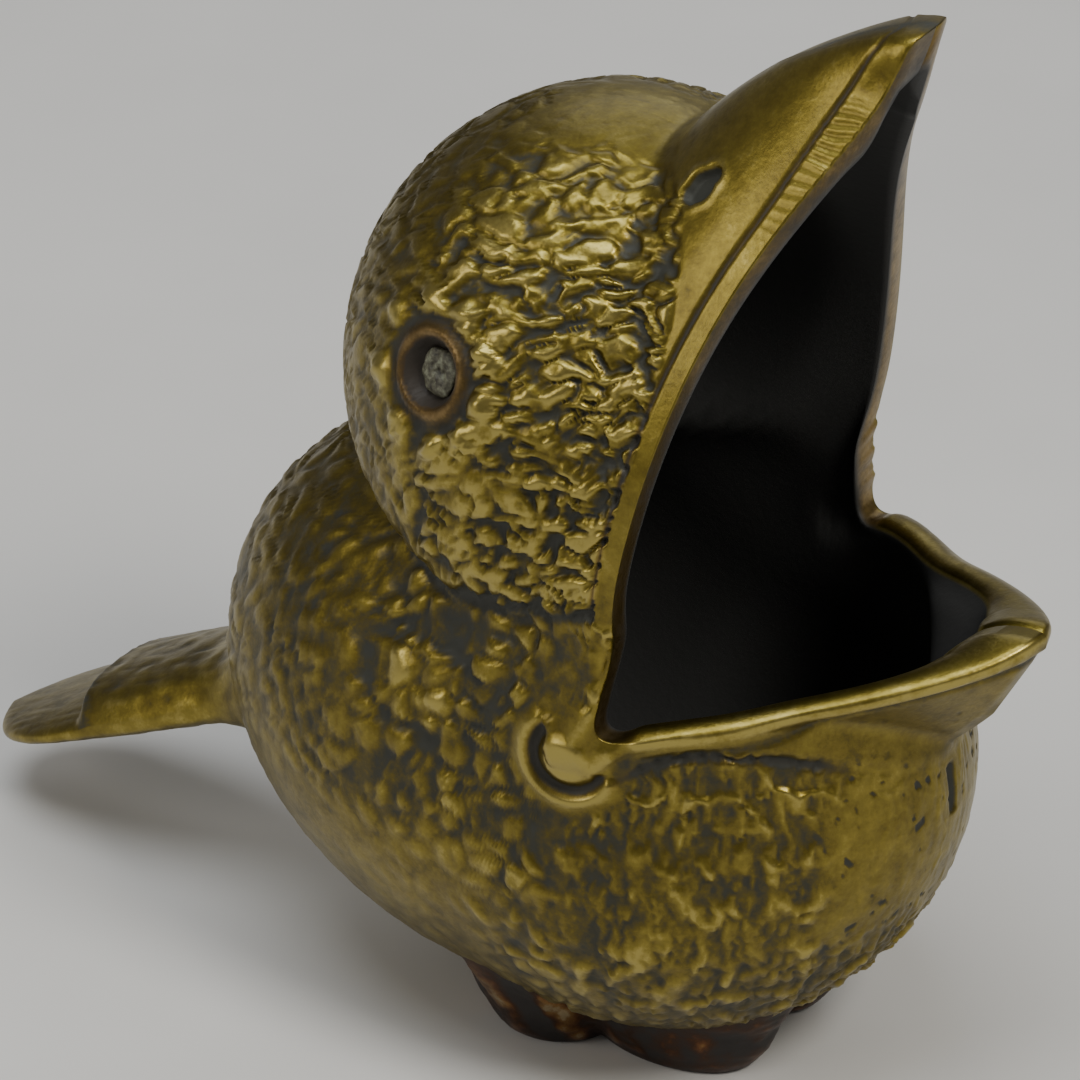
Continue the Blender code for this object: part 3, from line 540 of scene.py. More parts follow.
def eye_beads(mirrored):
    """Height of the beads in a ring round the eye."""
    height = 0.0
    for turn in np.radians(EYE_BEAD_TURNS):
        forward, up = EYE_BEAD_RING * math.cos(turn), EYE_BEAD_RING * math.sin(turn)
        bead = np.array((EYE[0] + forward, EYE_BEAD_SIDE, EYE[2] + up))
        away = np.linalg.norm((mirrored - bead) * np.array((1.0, 0.35, 1.0)), axis=-1)
        height = height + 0.85 * smooth_step(1.35 - away / 1.8)
    return height


def relief(points, from_rim):
    """Height over the plain skin, and how worn, polished, dirty and brown it is, at each point, with painted
    shade in the dirt and brown and a painted highlight in the polish.
    """
    at = places(points, from_rim)
    mirrored = np.stack([at.x, at.side, at.z], -1)
    height = feathers(points, at) + wing(points, at)

    # The lip: a rolled bead at the edge, a fine groove, and a smooth raised band.
    bead = ridge(from_rim - 0.5, 1.1)
    height = height + at.lip * (0.62 * bead - 0.22 * ridge(from_rim - 2.7, 0.55))
    height = height + 0.30 * at.band - 0.28 * at.below_band
    raised, groove, curl_ground = curl(at)
    height = height * (1.0 - curl_ground) + raised - 0.40 * groove

    # The eye is a ringed pit with beads round it, and the nostril a sunk leaf with a fine edge.
    from_eye = np.linalg.norm(mirrored - np.array(EYE), axis=-1)
    height = height * (1.0 - falling(from_eye, 6.6, 1.2))
    height = height + 0.36 * ridge(from_eye - 4.4, 0.6) - 0.24 * ridge(from_eye - 5.8, 0.6)
    pit = falling(from_eye, 3.9, 1.3)
    height = height - 1.9 * pit + eye_beads(mirrored) * at.head * (1.0 - at.bill)
    leaf = nostril_leaf(mirrored)
    nostril = smooth_step(-leaf / 0.8)
    height = height - 1.0 * nostril + 0.16 * ridge(leaf - 0.35, 0.45)

    # File marks cross the filed band near the bill's tip, where the seam shows as a notch too.
    marks = np.sin(2.0 * math.pi * at.z / FILE_MARK_PITCH + 3.0 * noise(points, 5.0, 51))
    marks = 0.07 * marks * rising(at.z, 54.0, 10.0)
    height = height * (1.0 - at.filed) - 0.26 * at.behind_filed + at.filed * marks
    notch = rising(at.z, 69.0, 4.0) * ridge(at.side, 0.6)
    height = height - 0.55 * notch - 0.9 * at.slot - 0.16 * at.pits

    # Partly a painted highlight: the smooth, worn crown is polished brighter to stand in for the pale
    # reflection of the light above it.
    polish_and_highlight = np.maximum.reduce([
        0.75 * at.bill, 0.95 * at.crown * at.head, 0.45 * at.band, 1.1 * at.filed, 0.3 * at.lip,
        0.6 * at.front * (1.0 - at.head), 0.7 * raised,
    ])
    polish_and_highlight = np.maximum(np.clip(polish_and_highlight - groove, 0.0, 1.0), 0.40 * at.low_flank)
    # Painted shade: the crease under the head and the line under the lip's band are darkened and browned
    # here, where shade falls; the rest is patina, residue and dark joints.
    dirt_and_shade = np.maximum.reduce([
        pit, 0.75 * nostril, 0.35 * at.bald, 0.7 * groove, at.slot, at.pits, 0.45 * at.below_band,
        0.55 * at.behind_filed, 0.6 * ridge(from_eye - 4.6, 2.0) * (1.0 - pit),
        at.crease * (1.0 - at.filed),
    ])
    brown_and_shade = np.maximum.reduce([
        falling(from_eye, 6.6, 2.2), 0.7 * at.behind_filed, 0.5 * groove + 0.3 * at.below_band,
    ])
    # Wear doesn't follow the broad forms, only the fine ones.
    worn = height - 0.40 * at.band - 0.30 * raised - 0.25 * at.lip * bead
    return {
        "height": height, "worn": worn, "polish_and_highlight": polish_and_highlight,
        "dirt_and_shade": np.clip(dirt_and_shade, 0.0, 1.0), "brown_and_shade": np.clip(brown_and_shade, 0.0, 1.0),
    }


# ---------------------------------------------------------------- meshes

def to_world(points):
    """Points in the gape frame, in the row frame's metres."""
    return (np.asarray(points, float) + np.array([GAPE_FORWARD, 0.0, SOLE_DROP])) * MM


def new_piece(name, points, faces, material, attributes, normals=None):
    """A smooth closed mesh that rides on the body, with its point attributes."""
    mesh = bpy.data.meshes.new(name)
    mesh.from_pydata(to_world(points).tolist(), [], faces)
    bm = bmesh.new()
    bm.from_mesh(mesh)
    bmesh.ops.recalc_face_normals(bm, faces=bm.faces)
    if bm.calc_volume(signed=True) < 0.0:
        bmesh.ops.reverse_faces(bm, faces=bm.faces)
    bm.to_mesh(mesh)
    bm.free()
    mesh.shade_smooth()
    for label, values in attributes.items():
        layer = mesh.attributes.new(label, "FLOAT", "POINT")
        layer.data.foreach_set("value", np.asarray(values, np.float32).ravel())
    if normals is not None:
        everywhere = np.zeros((len(mesh.vertices), 3), np.float32)
        mesh.vertices.foreach_get("normal", everywhere.ravel())
        everywhere = everywhere.reshape(-1, 3)
        index, wanted = normals
        everywhere[index] = wanted
        mesh.normals_split_custom_set_from_vertices(everywhere.tolist())
    mesh.materials.append(material)
    piece = bpy.data.objects.new(name, mesh)
    bpy.context.scene.collection.objects.link(piece)
    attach(piece, "root")
    return piece


def net_index():
    """The vertex numbers of the outer net."""
    return np.arange((ALONG + 1) * (ACROSS + 1)).reshape(ALONG + 1, ACROSS + 1)


def rim_strip(half, rim_inner):
    """Rows across the wall's cut edge: filed flat on the upper bill, rolled on the lip."""
    rim_outer = half["base"][:, 0]
    x, z = rim_outer[:, 0], rim_outer[:, 2]
    lip = rising(x, 3.0, 3.0) * falling(z, 16.0, 4.0)
    face = np.cross(np.gradient(rim_outer, axis=0), rim_inner - rim_outer)
    face /= np.linalg.norm(face, axis=1, keepdims=True) + 1e-12
    out_of_mouth = np.array([60.0, 0.0, 30.0]) - (rim_outer + rim_inner) / 2.0
    face *= np.sign((face * out_of_mouth).sum())
    start = rim_outer + half["normal"][:, 0] * half["height"][:, :1]
    share = np.array(STRIP_PLACES)[:, None]
    swell = np.sin(math.pi * share)
    lift = 0.10 * swell * (1.0 - lip) + 0.95 * swell**0.8 * lip
    share = share[..., None]
    rows = start * (1.0 - share) + rim_inner * share + face * lift[..., None]
    rows[:, [0, -1], 1] = half["side"] * SEAM
    return rows, lip


def skin_half(side, plain, normals, inside):
    """Every array that makes one half of the skin."""
    flip = np.array([1.0, side, 1.0])
    base, normal = plain * flip, normals * flip
    half = relief(base, rim_distance(plain))
    outer = base + normal * half["height"][..., None]
    inner = inside[::INNER_ALONG, ::INNER_ACROSS] * flip
    for net in (outer, inner):
        for border in (net[0], net[-1], net[:, -1]):
            border[:, 1] = side * SEAM
    half.update(base=base, normal=normal, outer=outer, inner=inner, side=side)
    return half


def seam_normals(half, other):
    """Shading normals along the middle that run on smoothly into the other half."""
    outer = half["outer"]
    along = np.gradient(outer, axis=0)
    across = np.gradient(outer, axis=1)
    along[0] = outer[1] - other["outer"][1]
    along[-1] = other["outer"][-2] - outer[-2]
    across[:, -1] = other["outer"][:, -2] - outer[:, -2]
    normal = np.cross(along, across)
    normal /= np.linalg.norm(normal, axis=-1, keepdims=True) + 1e-12
    normal *= np.sign((normal * half["normal"]).sum(-1, keepdims=True))
    index = net_index()
    chosen = np.concatenate([index[0], index[-1], index[:, -1]])
    return chosen, normal.reshape(-1, 3)[chosen]


def quads(grid):
    """The four-sided faces of a net of vertex numbers."""
    corners = [grid[:-1, :-1], grid[1:, :-1], grid[1:, 1:], grid[:-1, 1:]]
    return np.stack(corners, -1).reshape(-1, 4).tolist()


def build_skin(name, half, other, rim_inner, material):
    """One half of the skin as a closed mesh: outside, cut edge, inside and middle."""
    outer, inner, side = half["outer"], half["inner"], half["side"]
    rows, lip = rim_strip(half, rim_inner * np.array([1.0, side, 1.0]))
    points = [outer.reshape(-1, 3), rows.reshape(-1, 3), inner[:, 1:].reshape(-1, 3)]
    index = net_index()
    strip = index.size + np.arange(rows[..., 0].size).reshape(len(rows), -1)
    deep = index.size + strip.size + np.arange(inner[:, 1:, 0].size).reshape(len(inner), -1)
    strip = np.concatenate([index[None, :, 0], strip])
    faces = quads(index) + quads(strip) + quads(deep)

    # The inner net is coarser, so a face with many corners fills each of its borders.
    coarse = np.concatenate([strip[-1, ::INNER_ALONG, None], deep], axis=1)
    for t in range(len(coarse) - 1):
        for fine, column in ((strip[-1], 1), (index[:, ACROSS], -1)):
            fine = fine[t * INNER_ALONG:(t + 1) * INNER_ALONG + 1].tolist()
            faces.append(fine + coarse[[t + 1, t], column].tolist())
    for end in (0, -1):
        for q in range(coarse.shape[1] - 1):
            corners = index[end, q * INNER_ACROSS:(q + 1) * INNER_ACROSS + 1].tolist()
            corners += coarse[end, [q + 1, q]].tolist()
            if q == 0:
                corners += strip[1:-1, end][::-1].tolist()
            faces.append(corners)

    shares = np.array(STRIP_PLACES)[:, None]
    edge = np.zeros((len(STRIP_PLACES), ALONG + 1))
    deep = np.ones(deep.shape)
    upper = 1.0 - lip
    # Painted shade: the cut edge gets darker towards the inside, and darker still on the right half, whose
    # edge lies in shade.
    edge_shade = 0.15 + 0.35 * shares + 0.35 * (side < 0.0)
    into = 0.1 + 0.25 * upper
    values = {
        "relief": (half["worn"], 0.12 + edge, 0.0 * deep),
        "polish_and_highlight": (half["polish_and_highlight"], 0.5 + edge, 0.0 * deep),
        "dirt_and_shade": (half["dirt_and_shade"], edge_shade * upper, deep),
        # Painted shade: the cut edge is browned across most of its width and goes nearly black at its inner
        # rows, most on the upper bill.
        "brown_and_shade": (half["brown_and_shade"], 0.75 * upper * smooth_step(shares / 0.2), 0.0 * deep),
        "inside": (0.0 * half["height"], smooth_step((shares - 1.0 + into) / into), deep),
    }
    attributes = {key: np.concatenate([part.ravel() for part in parts]) for key, parts in values.items()}
    points = np.concatenate(points)
    return new_piece(name, points, faces, material, attributes, seam_normals(half, other))


def loft(name, rows, material, attributes):
    """A closed mesh from rings of points, with a fan over each end."""
    rings, around = rows.shape[:2]
    ends = np.stack([rows[0].mean(0), rows[-1].mean(0)])
    index = np.arange(rings * around).reshape(rings, around)
    turned = np.roll(index, -1, axis=1)
    faces = quads(np.concatenate([index, index[:, :1]], axis=1))
    for ring, hub in ((0, rings * around), (-1, rings * around + 1)):
        faces += [[int(index[ring, i]), int(turned[ring, i]), hub] for i in range(around)]
    spread = {}
    for key, value in attributes.items():
        spread[key] = np.concatenate([value.ravel(), [value[0].mean(), value[-1].mean()]])
    points = np.concatenate([rows.reshape(-1, 3), ends])
    return new_piece(name, points, faces, material, spread)


def make_tail(material):
    """The tail casting from the rump to its rounded end, with a saddle of worn rump feathers."""
    root = np.array([TAIL_ROOT[0], 0.0, TAIL_ROOT[1]])
    backward = np.array([-math.cos(TAIL_DROOP), 0.0, -math.sin(TAIL_DROOP)])
    upward = np.array([backward[2], 0.0, -backward[0]])
    sections, around = 190, 110
    angle = 2.0 * math.pi * np.arange(around) / around
    cosine, sine = np.cos(angle), np.sin(angle)
    across_share = np.sign(cosine) * np.abs(cosine) ** TAIL_SQUARENESS
    height_share = np.sign(sine) * np.abs(sine) ** TAIL_SQUARENESS

    def ring(along):
        """Points round the tail at a distance along it, one distance for each point."""
        wider = (TAIL_HALF_WIDTH - TAIL_ROOT_HALF_WIDTH) * smooth_step(along / TAIL_WIDENING)
        width = TAIL_ROOT_HALF_WIDTH + wider
        flare = TAIL_FLARE * np.clip(1.0 - along / TAIL_FLARE_LENGTH, 0.0, None) ** 2
        into_end = np.clip(along - TAIL_LENGTH + TAIL_END_LENGTH, 0.0, None) / TAIL_END_LENGTH
        width = width * np.sqrt(np.clip(1.0 - into_end**TAIL_END_POWER, 0.0, None)) + flare
        thinner = (TAIL_TIP_HALF_THICKNESS - TAIL_HALF_THICKNESS) * along / TAIL_LENGTH
        thin = TAIL_HALF_THICKNESS + thinner
        worn_edge = 1.2 * across_share**2
        past_saddle = (along - SADDLE_LENGTH + worn_edge) / SADDLE_STEP_LENGTH
        saddle = SADDLE_HEIGHT * (1.0 - smooth_step(past_saddle))
        saddle = saddle * smooth_step(1.35 - np.abs(across_share) ** 3)
        tall = thin + flare + np.where(height_share > 0.0, saddle, 0.0)
        spots = root + backward * along[:, None] + upward * (height_share * tall)[:, None]
        spots[:, 1] = across_share * width
        return spots, saddle / SADDLE_HEIGHT

    near, far = np.full(around, -9.0), np.full(around, 12.0)
    near = narrowed(near, far, lambda middle: skin(ring(middle)[0]) < 0.05)
    rows, polish_and_highlight, height = [], [], []
    for section in range(sections):
        share = math.sin(0.5 * math.pi * section / sections)
        along = near + (TAIL_LENGTH - near) * share
        spots, saddle = ring(along)
        barbs = noise(spots, (5.5, 0.8, 2.0), 61) * 0.12 + noise(spots, (2.5, 1.6, 2.0), 62) * 0.10
        barbs = barbs * (0.35 + 0.65 * saddle)
        end = np.clip((along - TAIL_LENGTH + TAIL_END_LENGTH) / TAIL_END_LENGTH, 0.0, 1.0)
        lift = np.sign(height_share) * barbs * (1.0 - end**6)
        spots = spots + upward * lift[:, None]
        rows.append(spots)
        height.append(barbs * 2.2 + 0.05)
        sides = np.abs(across_share) ** 6 * smooth_step(along / 12.0)
        polish_and_highlight.append(0.25 + 0.55 * sides + 0.3 * end**3)
    rows = np.array(rows)
    polish_and_highlight = np.clip(np.array(polish_and_highlight), 0.0, 1.0)
    along = np.linalg.norm(rows - root, axis=-1)
    step_face = ridge((along - SADDLE_LENGTH - 0.8) / 1.0, 1.1) * (height_share > 0.3)
    attributes = {
        "relief": np.array(height),
        "polish_and_highlight": polish_and_highlight * (1.0 - step_face),
        # Darker near the root: painted shade where the tail meets the body, together with a dark joint.
        "dirt_and_shade": np.clip(0.35 * falling(along, 9.0, 6.0) + 0.5 * step_face, 0.0, 1.0),
        "inside": 0.0 * polish_and_highlight,
    }
    piece = loft("tail_casting", rows, material, attributes)
    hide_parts("tail")


def lobe_reach(angle, centre, radii):
    """How far an ellipse's far edge lies from the foot's centre at each angle."""
    dx, dy = np.cos(angle) / radii[0], np.sin(angle) / radii[1]
    ox, oy = (FOOT_CENTRE[0] - centre[0]) / radii[0], (FOOT_CENTRE[1] - centre[1]) / radii[1]
    a, b, c = dx * dx + dy * dy, dx * ox + dy * oy, ox * ox + oy * oy - 1.0
    root = b * b - a * c
    return np.where(root > 0.0, (np.sqrt(np.clip(root, 0.0, None)) - b) / a, 0.0)


def make_foot(name, replaced, side, material):
    """A pedestal with a ribbed hind lobe and a smooth front lobe, up to the belly."""
    rings, around = 70, 200
    angle = 2.0 * math.pi * np.arange(around) / around
    hind = lobe_reach(angle, HIND_LOBE, HIND_LOBE_RADII)
    front = lobe_reach(angle, FRONT_LOBE, FRONT_LOBE_RADII)
    # A soft maximum, so the waist between the lobes is rounded.
    edge = np.log(np.exp(hind / 0.5) + np.exp(front / 0.5)) * 0.5

    def column(height):
        """A point at a height on each of the foot's upright lines."""
        grow = FOOT_SPREAD * (height + SOLE_DROP)
        bulge = 0.5 * np.sin(math.pi * np.clip((height + SOLE_DROP) / 6.0, 0.0, 1.0))
        reach_out = edge + grow + bulge
        across = np.maximum(FOOT_CENTRE[1] + reach_out * np.sin(angle), 0.6)
        return np.stack([FOOT_CENTRE[0] + reach_out * np.cos(angle), across, height], -1)

    near, far = np.full(around, -SOLE_DROP + 1.0), np.full(around, FOOT_TOP + 8.0)
    near = narrowed(near, far, lambda middle: skin(column(middle)) > -0.3)
    rows, height = [], []
    for ring in range(rings + 1):
        share = ring / rings
        spots = column(-SOLE_DROP + (near + SOLE_DROP) * share)
        toes = np.cos(angle * 11.0) * smooth_step((hind - front) / 2.0)
        bumps = 0.30 * toes + 0.30 * noise(spots, (2.6, 2.6, 3.5), 71) + 0.12 * noise(spots, 1.1, 72)
        if share < 0.3:
            lift = bumps * math.sin(math.pi * min(1.0, share * 1.6 + 0.02))
        else:
            lift = bumps * falling(share, 1.05, 0.3)
        outward_way = np.stack([np.cos(angle), np.sin(angle), 0.0 * angle], -1)
        round_over = -0.7 * (1.0 - math.sqrt(1.0 - (1.0 - min(1.0, share / 0.12)) ** 2))
        spots = spots + outward_way * (lift + round_over)[:, None]
        spots[:, 1] = np.maximum(spots[:, 1], 0.6) * side
        rows.append(spots)
        height.append(lift)
    height = np.array(height)
    attributes = {
        "relief": height,
        "polish_and_highlight": np.clip(height * 1.2, 0.0, 1.0),
        "dirt_and_shade": np.clip(0.3 - height, 0.0, 1.0),
        "inside": 0.0 * height,
    }
    piece = loft(name, np.array(rows), material, attributes)
    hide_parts(replaced)


def make_eye(name, replaced, side, material):
    """The crumbled rest of a paste eye on the floor of its socket."""
    centre = np.array(EYE)
    unit = centre / np.linalg.norm(centre)
    centre = unit * reach(unit)
    way = outward(centre)
    across = np.cross(way, (0.0, 0.0, 1.0))
    across /= np.linalg.norm(across)
    up = np.cross(across, way)
    rings, around = 26, 72
    angle = 2.0 * math.pi * np.arange(around) / around
    rows = []
    for ring in range(rings):
        share = ring / (rings - 1)
        radius = PASTE_RADIUS * math.cos(0.5 * math.pi * max(0.0, share - 0.1) / 0.9 * 0.97)
        middle = centre - way * (PASTE_SINK - PASTE_HEIGHT * math.sin(0.5 * math.pi * share))
        flat = np.stack([np.cos(angle), np.sin(angle)], -1) * radius
        spots = middle + flat[:, :1] * across + flat[:, 1:] * up
        dent = 0.75 * np.exp(-(((flat[:, 0] - 0.5) / 0.9) ** 2 + ((flat[:, 1] - 0.5) / 0.9) ** 2))
        crumble = 0.40 * noise(spots, 0.9, 81) + 0.2 * noise(spots, 0.45, 82) - dent
        uneven = (spots - middle) * 0.12 * noise(spots, 1.2, 83)[:, None]
        spots = spots + way * (crumble * share)[:, None] + uneven
        spots[:, 1] *= side
        rows.append(spots)
    rows = np.array(rows)
    attributes = {"relief": noise(rows, 0.8, 84)}
    piece = loft(name, rows, material, attributes)
    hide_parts(replaced)


# ---------------------------------------------------------------- materials

def node(tree, kind, inputs=None, **settings):
    """A shader node with its settings; an input that is a socket is linked."""
    made = tree.nodes.new(kind)
    for key, value in settings.items():
        setattr(made, key, value)
    for key, value in (inputs or {}).items():
        if isinstance(value, bpy.types.NodeSocket):
            tree.links.new(value, made.inputs[key])
        else:
            made.inputs[key].default_value = value
    return made


def value_of(tree, operation, first, second=0.0, clamp=False):
    """The result of one sum."""
    inputs = {0: first, 1: second}
    return node(tree, "ShaderNodeMath", inputs, operation=operation, use_clamp=clamp).outputs[0]


def ramp(tree, share, stops):
    """A colour or grey ramp."""
    made = node(tree, "ShaderNodeValToRGB", {"Fac": share})
    elements = made.color_ramp.elements
    while len(elements) < len(stops):
        elements.new(0.5)
    for element, (place, colour) in zip(elements, stops):
        element.position = place
        element.color = (*colour, 1.0) if isinstance(colour, tuple) else (colour, colour, colour, 1.0)
    return made.outputs["Color"]


def speckle(tree, coordinates, size, detail=3.0, stretch=None):
    """Noise from 0 to 1 with lumps of a size in millimetres."""
    if stretch is not None:
        coordinates = node(tree, "ShaderNodeMapping", {"Vector": coordinates, "Scale": stretch}).outputs[0]
    inputs = {"Vector": coordinates, "Scale": 1.0 / (size * MM), "Detail": detail, "Roughness": 0.6}
    return node(tree, "ShaderNodeTexNoise", inputs).outputs["Fac"]


def attribute(tree, name):
    return node(tree, "ShaderNodeAttribute", attribute_name=name).outputs["Fac"]


def new_material(name):
    material = bpy.data.materials.new(name)
    material.use_nodes = True
    tree = material.node_tree
    tree.nodes.clear()
    shader = node(tree, "ShaderNodeBsdfPrincipled")
    out = node(tree, "ShaderNodeOutputMaterial", {"Surface": shader.outputs[0]})
    out.location = (400, 0)
    coordinates = node(tree, "ShaderNodeTexCoord").outputs["Object"]
    return material, tree, shader, coordinates


def swing(tree, value, amount):
    """A noise from 0 to 1 as a value from minus half an amount to plus half of it."""
    return value_of(tree, "MULTIPLY", value_of(tree, "SUBTRACT", value, 0.5), amount)


def mixed(tree, share, first, second):
    """One colour passing into another as a share goes from 0 to 1."""
    return node(tree, "ShaderNodeMix", {0: share, 6: first, 7: second}, data_type="RGBA").outputs[2]


def finish_material(tree, shader, height, strength, distance, **inputs):
    """Fine bumps, and the sockets that feed the shader."""
    bump = node(tree, "ShaderNodeBump", {"Height": height, "Strength": strength, "Distance": distance})
    tree.links.new(bump.outputs[0], shader.inputs["Normal"])
    for label, value in inputs.items():
        tree.links.new(value, shader.inputs[label.replace("_", " ")])


def brass_material(name, colours, darker):
    """Old cast brass: bright where worn, dark patina in the hollows, near-black inside."""
    material, tree, shader, coordinates = new_material(name)
    labels = ("relief", "polish_and_highlight", "dirt_and_shade", "inside", "brown_and_shade")
    raised, polish_and_highlight, dirt_and_shade, inside, brown_and_shade = [attribute(tree, label) for label in labels]
    outside = value_of(tree, "SUBTRACT", 1.0, inside)
    broad = speckle(tree, coordinates, 14.0)
    middle = speckle(tree, coordinates, 2.2, 5.0)
    fine = speckle(tree, coordinates, 0.5, 4.0)

    wear = value_of(tree, "ADD", value_of(tree, "MULTIPLY", raised, 1.15), 0.50 - darker)
    for patches, amount in ((middle, 0.75), (fine, 0.35), (broad, 0.55)):
        wear = value_of(tree, "ADD", wear, swing(tree, patches, amount))
    # Polish brightens the colour and dirt darkens it; they also carry a painted highlight on the crown and
    # painted shade on the cut edge, the neck crease, under the lip's band and at the tail's root.
    wear = value_of(tree, "ADD", wear, value_of(tree, "MULTIPLY", polish_and_highlight, 0.22))
    wear = value_of(tree, "SUBTRACT", wear, value_of(tree, "MULTIPLY", dirt_and_shade, 0.62), clamp=True)

    browned = value_of(tree, "MULTIPLY", brown_and_shade, 0.75)
    colour = mixed(tree, browned, ramp(tree, wear, colours), ramp(tree, wear, BROWN_COLOURS))
    colour = mixed(tree, inside, colour, INSIDE_COLOUR)
    metal = value_of(tree, "MULTIPLY", ramp(tree, wear, [(0.0, 0.2), (0.2, 0.6), (0.42, 1.0)]), outside)
    rough = ramp(tree, wear, [(0.0, 0.66), (0.3, 0.48), (0.6, 0.39), (1.0, 0.32)])
    rough = value_of(tree, "ADD", rough, swing(tree, middle, 0.16))
    rough = value_of(tree, "MAXIMUM", rough, value_of(tree, "MULTIPLY", inside, 0.7))
    gloss = value_of(tree, "MULTIPLY", ramp(tree, wear, [(0.15, 0.04), (0.5, 0.16)]), outside)
    shader.inputs["Coat Roughness"].default_value = 0.16
    grain = value_of(tree, "ADD", value_of(tree, "MULTIPLY", fine, 0.6), speckle(tree, coordinates, 1.1, 2.0))
    outputs = {"Base_Color": colour, "Metallic": metal, "Roughness": rough, "Coat_Weight": gloss}
    finish_material(tree, shader, grain, 0.32, 0.00012, **outputs)
    return material


def paste_material():
    """Dull, crumbled grey-green paste."""
    material, tree, shader, coordinates = new_material("eye_paste")
    mottle = speckle(tree, coordinates, 0.7, 5.0)
    colour = ramp(tree, mottle, PASTE_COLOURS)
    shader.inputs["Roughness"].default_value = 0.55
    finish_material(tree, shader, mottle, 0.5, 0.0002, Base_Color=colour)
    return material


def fastener_material(name, pale, dark, rough):
    """Turned metal with fine marks and a little tarnish."""
    material, tree, shader, coordinates = new_material(name)
    tarnish = speckle(tree, coordinates, 1.6, 4.0)
    colour = ramp(tree, tarnish, [(0.3, dark), (0.65, pale)])
    rough = ramp(tree, tarnish, [(0.3, rough + 0.2), (0.7, rough)])
    shader.inputs["Metallic"].default_value = 1.0
    marks = speckle(tree, coordinates, 0.35, 2.0, (1.0, 1.0, 6.0))
    finish_material(tree, shader, marks, 0.25, 0.0001, Base_Color=colour, Roughness=rough)
    return material


BRASS_COLOURS = [
    (0.0, (0.027, 0.028, 0.021)),
    (0.14, (0.040, 0.037, 0.021)),
    (0.30, (0.082, 0.065, 0.020)),
    (0.52, (0.158, 0.118, 0.021)),
    (0.78, (0.240, 0.185, 0.033)),
    (1.0, (0.37, 0.295, 0.080)),
]
# The feet's colours: their reddish-brown patina, made darker as painted shade for their place under the
# belly.
SHADED_DARK_COLOURS = [
    (0.0, (0.022, 0.018, 0.016)),
    (0.35, (0.060, 0.032, 0.020)),
    (0.60, (0.16, 0.070, 0.030)),
    (0.85, (0.30, 0.17, 0.06)),
    (1.0, (0.48, 0.38, 0.22)),
]
BROWN_COLOURS = [(0.0, (0.022, 0.013, 0.007)), (0.35, (0.085, 0.050, 0.022)), (0.8, (0.30, 0.19, 0.09))]
PASTE_COLOURS = [(0.3, (0.018, 0.013, 0.008)), (0.5, (0.10, 0.095, 0.06)), (0.70, (0.24, 0.25, 0.17))]
INSIDE_COLOUR = (0.026, 0.026, 0.025, 1.0)


# ---------------------------------------------------------------- camera, light and floor

# Each light's name, azimuth, elevation, distance, size, power and colour.
LIGHTS = (
    ("key", 75.0, 48.0, 0.9, 0.28, 4.6, (1.0, 0.97, 0.90)),
    ("top", -20.0, 80.0, 1.0, 0.7, 5.5, (0.92, 0.96, 1.0)),
    ("back", 205.0, 38.0, 1.2, 0.9, 1.8, (0.92, 0.96, 1.0)),
    ("fill", -35.0, 25.0, 1.2, 0.6, 2.9, (1.0, 0.96, 0.90)),
)
FLOOR_HALF_WIDTH = 3.0
FLOOR_COLOURS = [(0.3, (0.62, 0.61, 0.59)), (0.7, (0.66, 0.65, 0.63))]
VIEW_AZIMUTH, VIEW_ELEVATION = math.radians(30.64), math.radians(31.33)
VIEW_DISTANCE = 0.700
VIEW_LENS = 219.3
AIM_LEFT, AIM_UP = 0.01983, 0.00959


def way_to(azimuth, elevation):
    """The direction from the bird to a place round it; azimuth 0 is its right side."""
    level = math.cos(elevation)
    return Vector((math.sin(azimuth) * level, -math.cos(azimuth) * level, math.sin(elevation)))


def make_camera():
    """The camera looks at the bird from its right side, from a little in front and above."""
    right = Vector((math.cos(VIEW_AZIMUTH), math.sin(VIEW_AZIMUTH), 0.0))
    back = way_to(VIEW_AZIMUTH, VIEW_ELEVATION)
    up = back.cross(right)
    gape = Vector((GAPE_FORWARD, 0.0, SOLE_DROP)) * MM
    data = bpy.data.cameras.new("camera")
    data.lens = VIEW_LENS
    data.sensor_width = 36.0
    data.clip_start = 0.01
    camera = bpy.data.objects.new("camera", data)
    bpy.context.scene.collection.objects.link(camera)
    camera.location = gape + back * VIEW_DISTANCE
    aim = gape - right * AIM_LEFT + up * AIM_UP
    towards = (aim - camera.location).normalized()
    camera.rotation_euler = towards.to_track_quat("-Z", "Y").to_euler()
    bpy.context.scene.camera = camera


def make_light(name, azimuth, elevation, distance, size, power, colour):
    """An area light aimed at the bird."""
    data = bpy.data.lights.new(name, "AREA")
    data.shape = "DISK"
    data.size = size
    data.energy = power
    data.color = colour
    light = bpy.data.objects.new(name, data)
    bpy.context.scene.collection.objects.link(light)
    way = way_to(math.radians(azimuth), math.radians(elevation))
    light.location = Vector((0.0, 0.0, 0.06)) + way * distance
    light.rotation_euler = (-way).to_track_quat("-Z", "Y").to_euler()


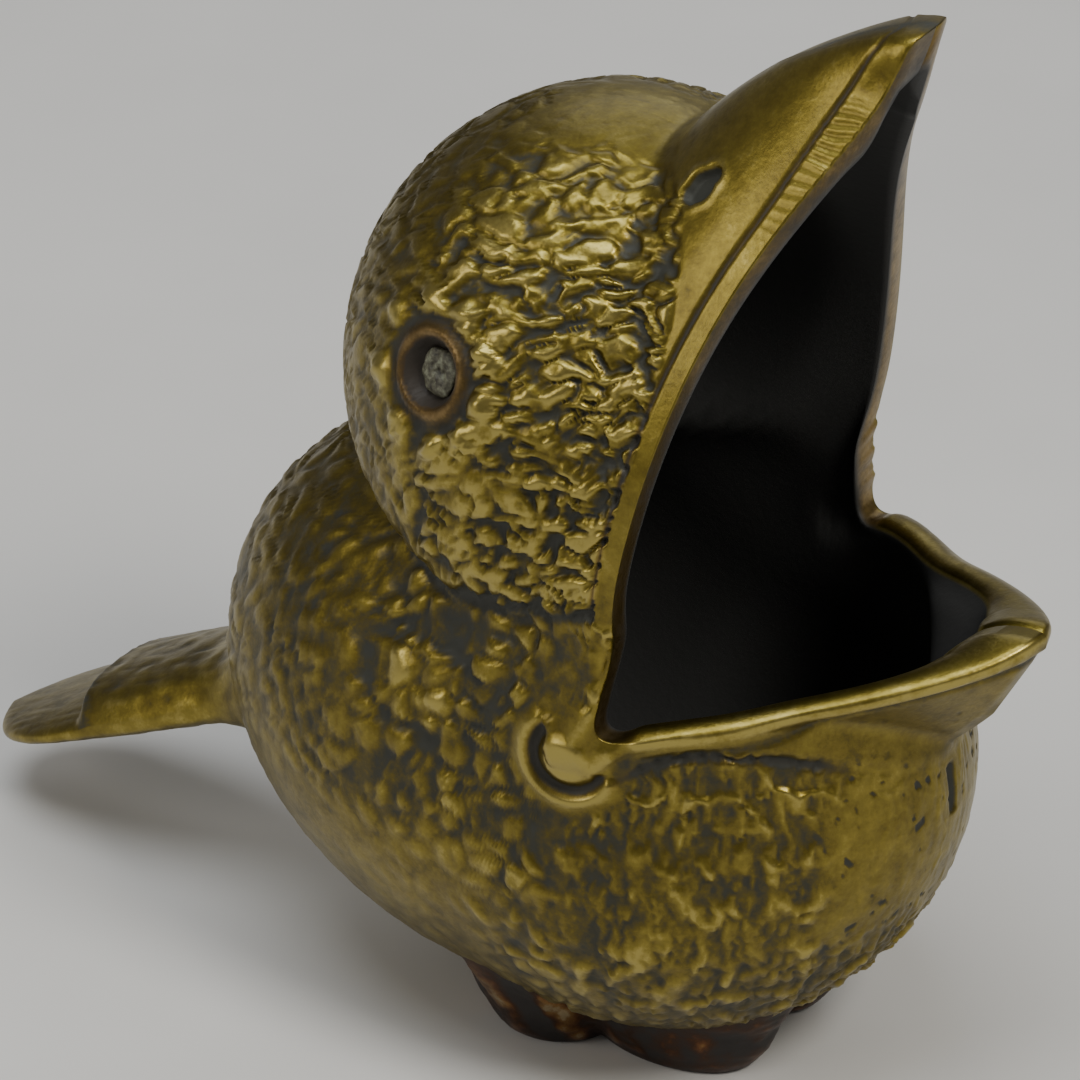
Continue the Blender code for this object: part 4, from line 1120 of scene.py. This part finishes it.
def make_studio():
    """Soft light, a dim surround and a plain pale floor."""
    for light in LIGHTS:
        make_light(*light)
    world = bpy.data.worlds.new("surround")
    world.use_nodes = True
    background = world.node_tree.nodes["Background"]
    background.inputs["Color"].default_value = (0.40, 0.39, 0.38, 1.0)
    background.inputs["Strength"].default_value = 0.5
    bpy.context.scene.world = world
    mesh = bpy.data.meshes.new("floor")
    half = FLOOR_HALF_WIDTH
    corners = [(-half, -half, 0), (half, -half, 0), (half, half, 0), (-half, half, 0)]
    mesh.from_pydata(corners, [], [(0, 1, 2, 3)])
    material, tree, shader, coordinates = new_material("floor")
    colour = ramp(tree, speckle(tree, coordinates, 60.0), FLOOR_COLOURS)
    tree.links.new(colour, shader.inputs["Base Color"])
    shader.inputs["Roughness"].default_value = 0.8
    mesh.materials.append(material)
    floor = bpy.data.objects.new("floor", mesh)
    bpy.context.scene.collection.objects.link(floor)


# ---------------------------------------------------------------- the bird

def main():
    make_camera()
    make_studio()
    brass = brass_material("old_brass", BRASS_COLOURS, darker=0.0)
    # A darker copy of the brass for the feet: their own patina, with painted shade for their place under the
    # belly.
    dark_brass = brass_material("dark_brass", SHADED_DARK_COLOURS, darker=0.12)
    paste = paste_material()
    steel = fastener_material("steel", (0.42, 0.40, 0.37), (0.16, 0.14, 0.12), 0.35)
    plain_brass = fastener_material("plain_brass", (0.45, 0.34, 0.13), (0.18, 0.12, 0.05), 0.35)

    net = half_net()
    plain = net * reach(net)
    share = corner_share(plain)
    normals = eased(outward(plain), share)
    normals /= np.linalg.norm(normals, axis=-1, keepdims=True)
    plain = eased(plain, share)
    radii = np.linalg.norm(plain, axis=-1, keepdims=True)
    net = plain / radii
    inside = net * (radii - wall_depths(net, plain, normals)[..., None])
    left = skin_half(1.0, plain, normals, inside)
    right = skin_half(-1.0, plain, normals, inside)
    left_skin = build_skin("left_skin", left, right, inside[:, 0], brass)
    right_skin = build_skin("right_skin", right, left, inside[:, 0], brass)
    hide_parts("left_shell")
    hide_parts("right_shell")

    make_tail(brass)
    for hand, side in (("left", 1.0), ("right", -1.0)):
        make_foot(f"{hand}_foot_casting", f"{hand}_foot", side, dark_brass)
    for hand, side in (("left", 1.0), ("right", -1.0)):
        make_eye(f"{hand}_eye_paste", f"{hand}_eye", side, paste)

    for name, cad_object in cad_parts.items():
        if name.endswith(("screw", "stud", "nut", "washer")):
            cad_object.data.materials.clear()
            cad_object.data.materials.append(plain_brass if name.endswith("washer") else steel)


main()
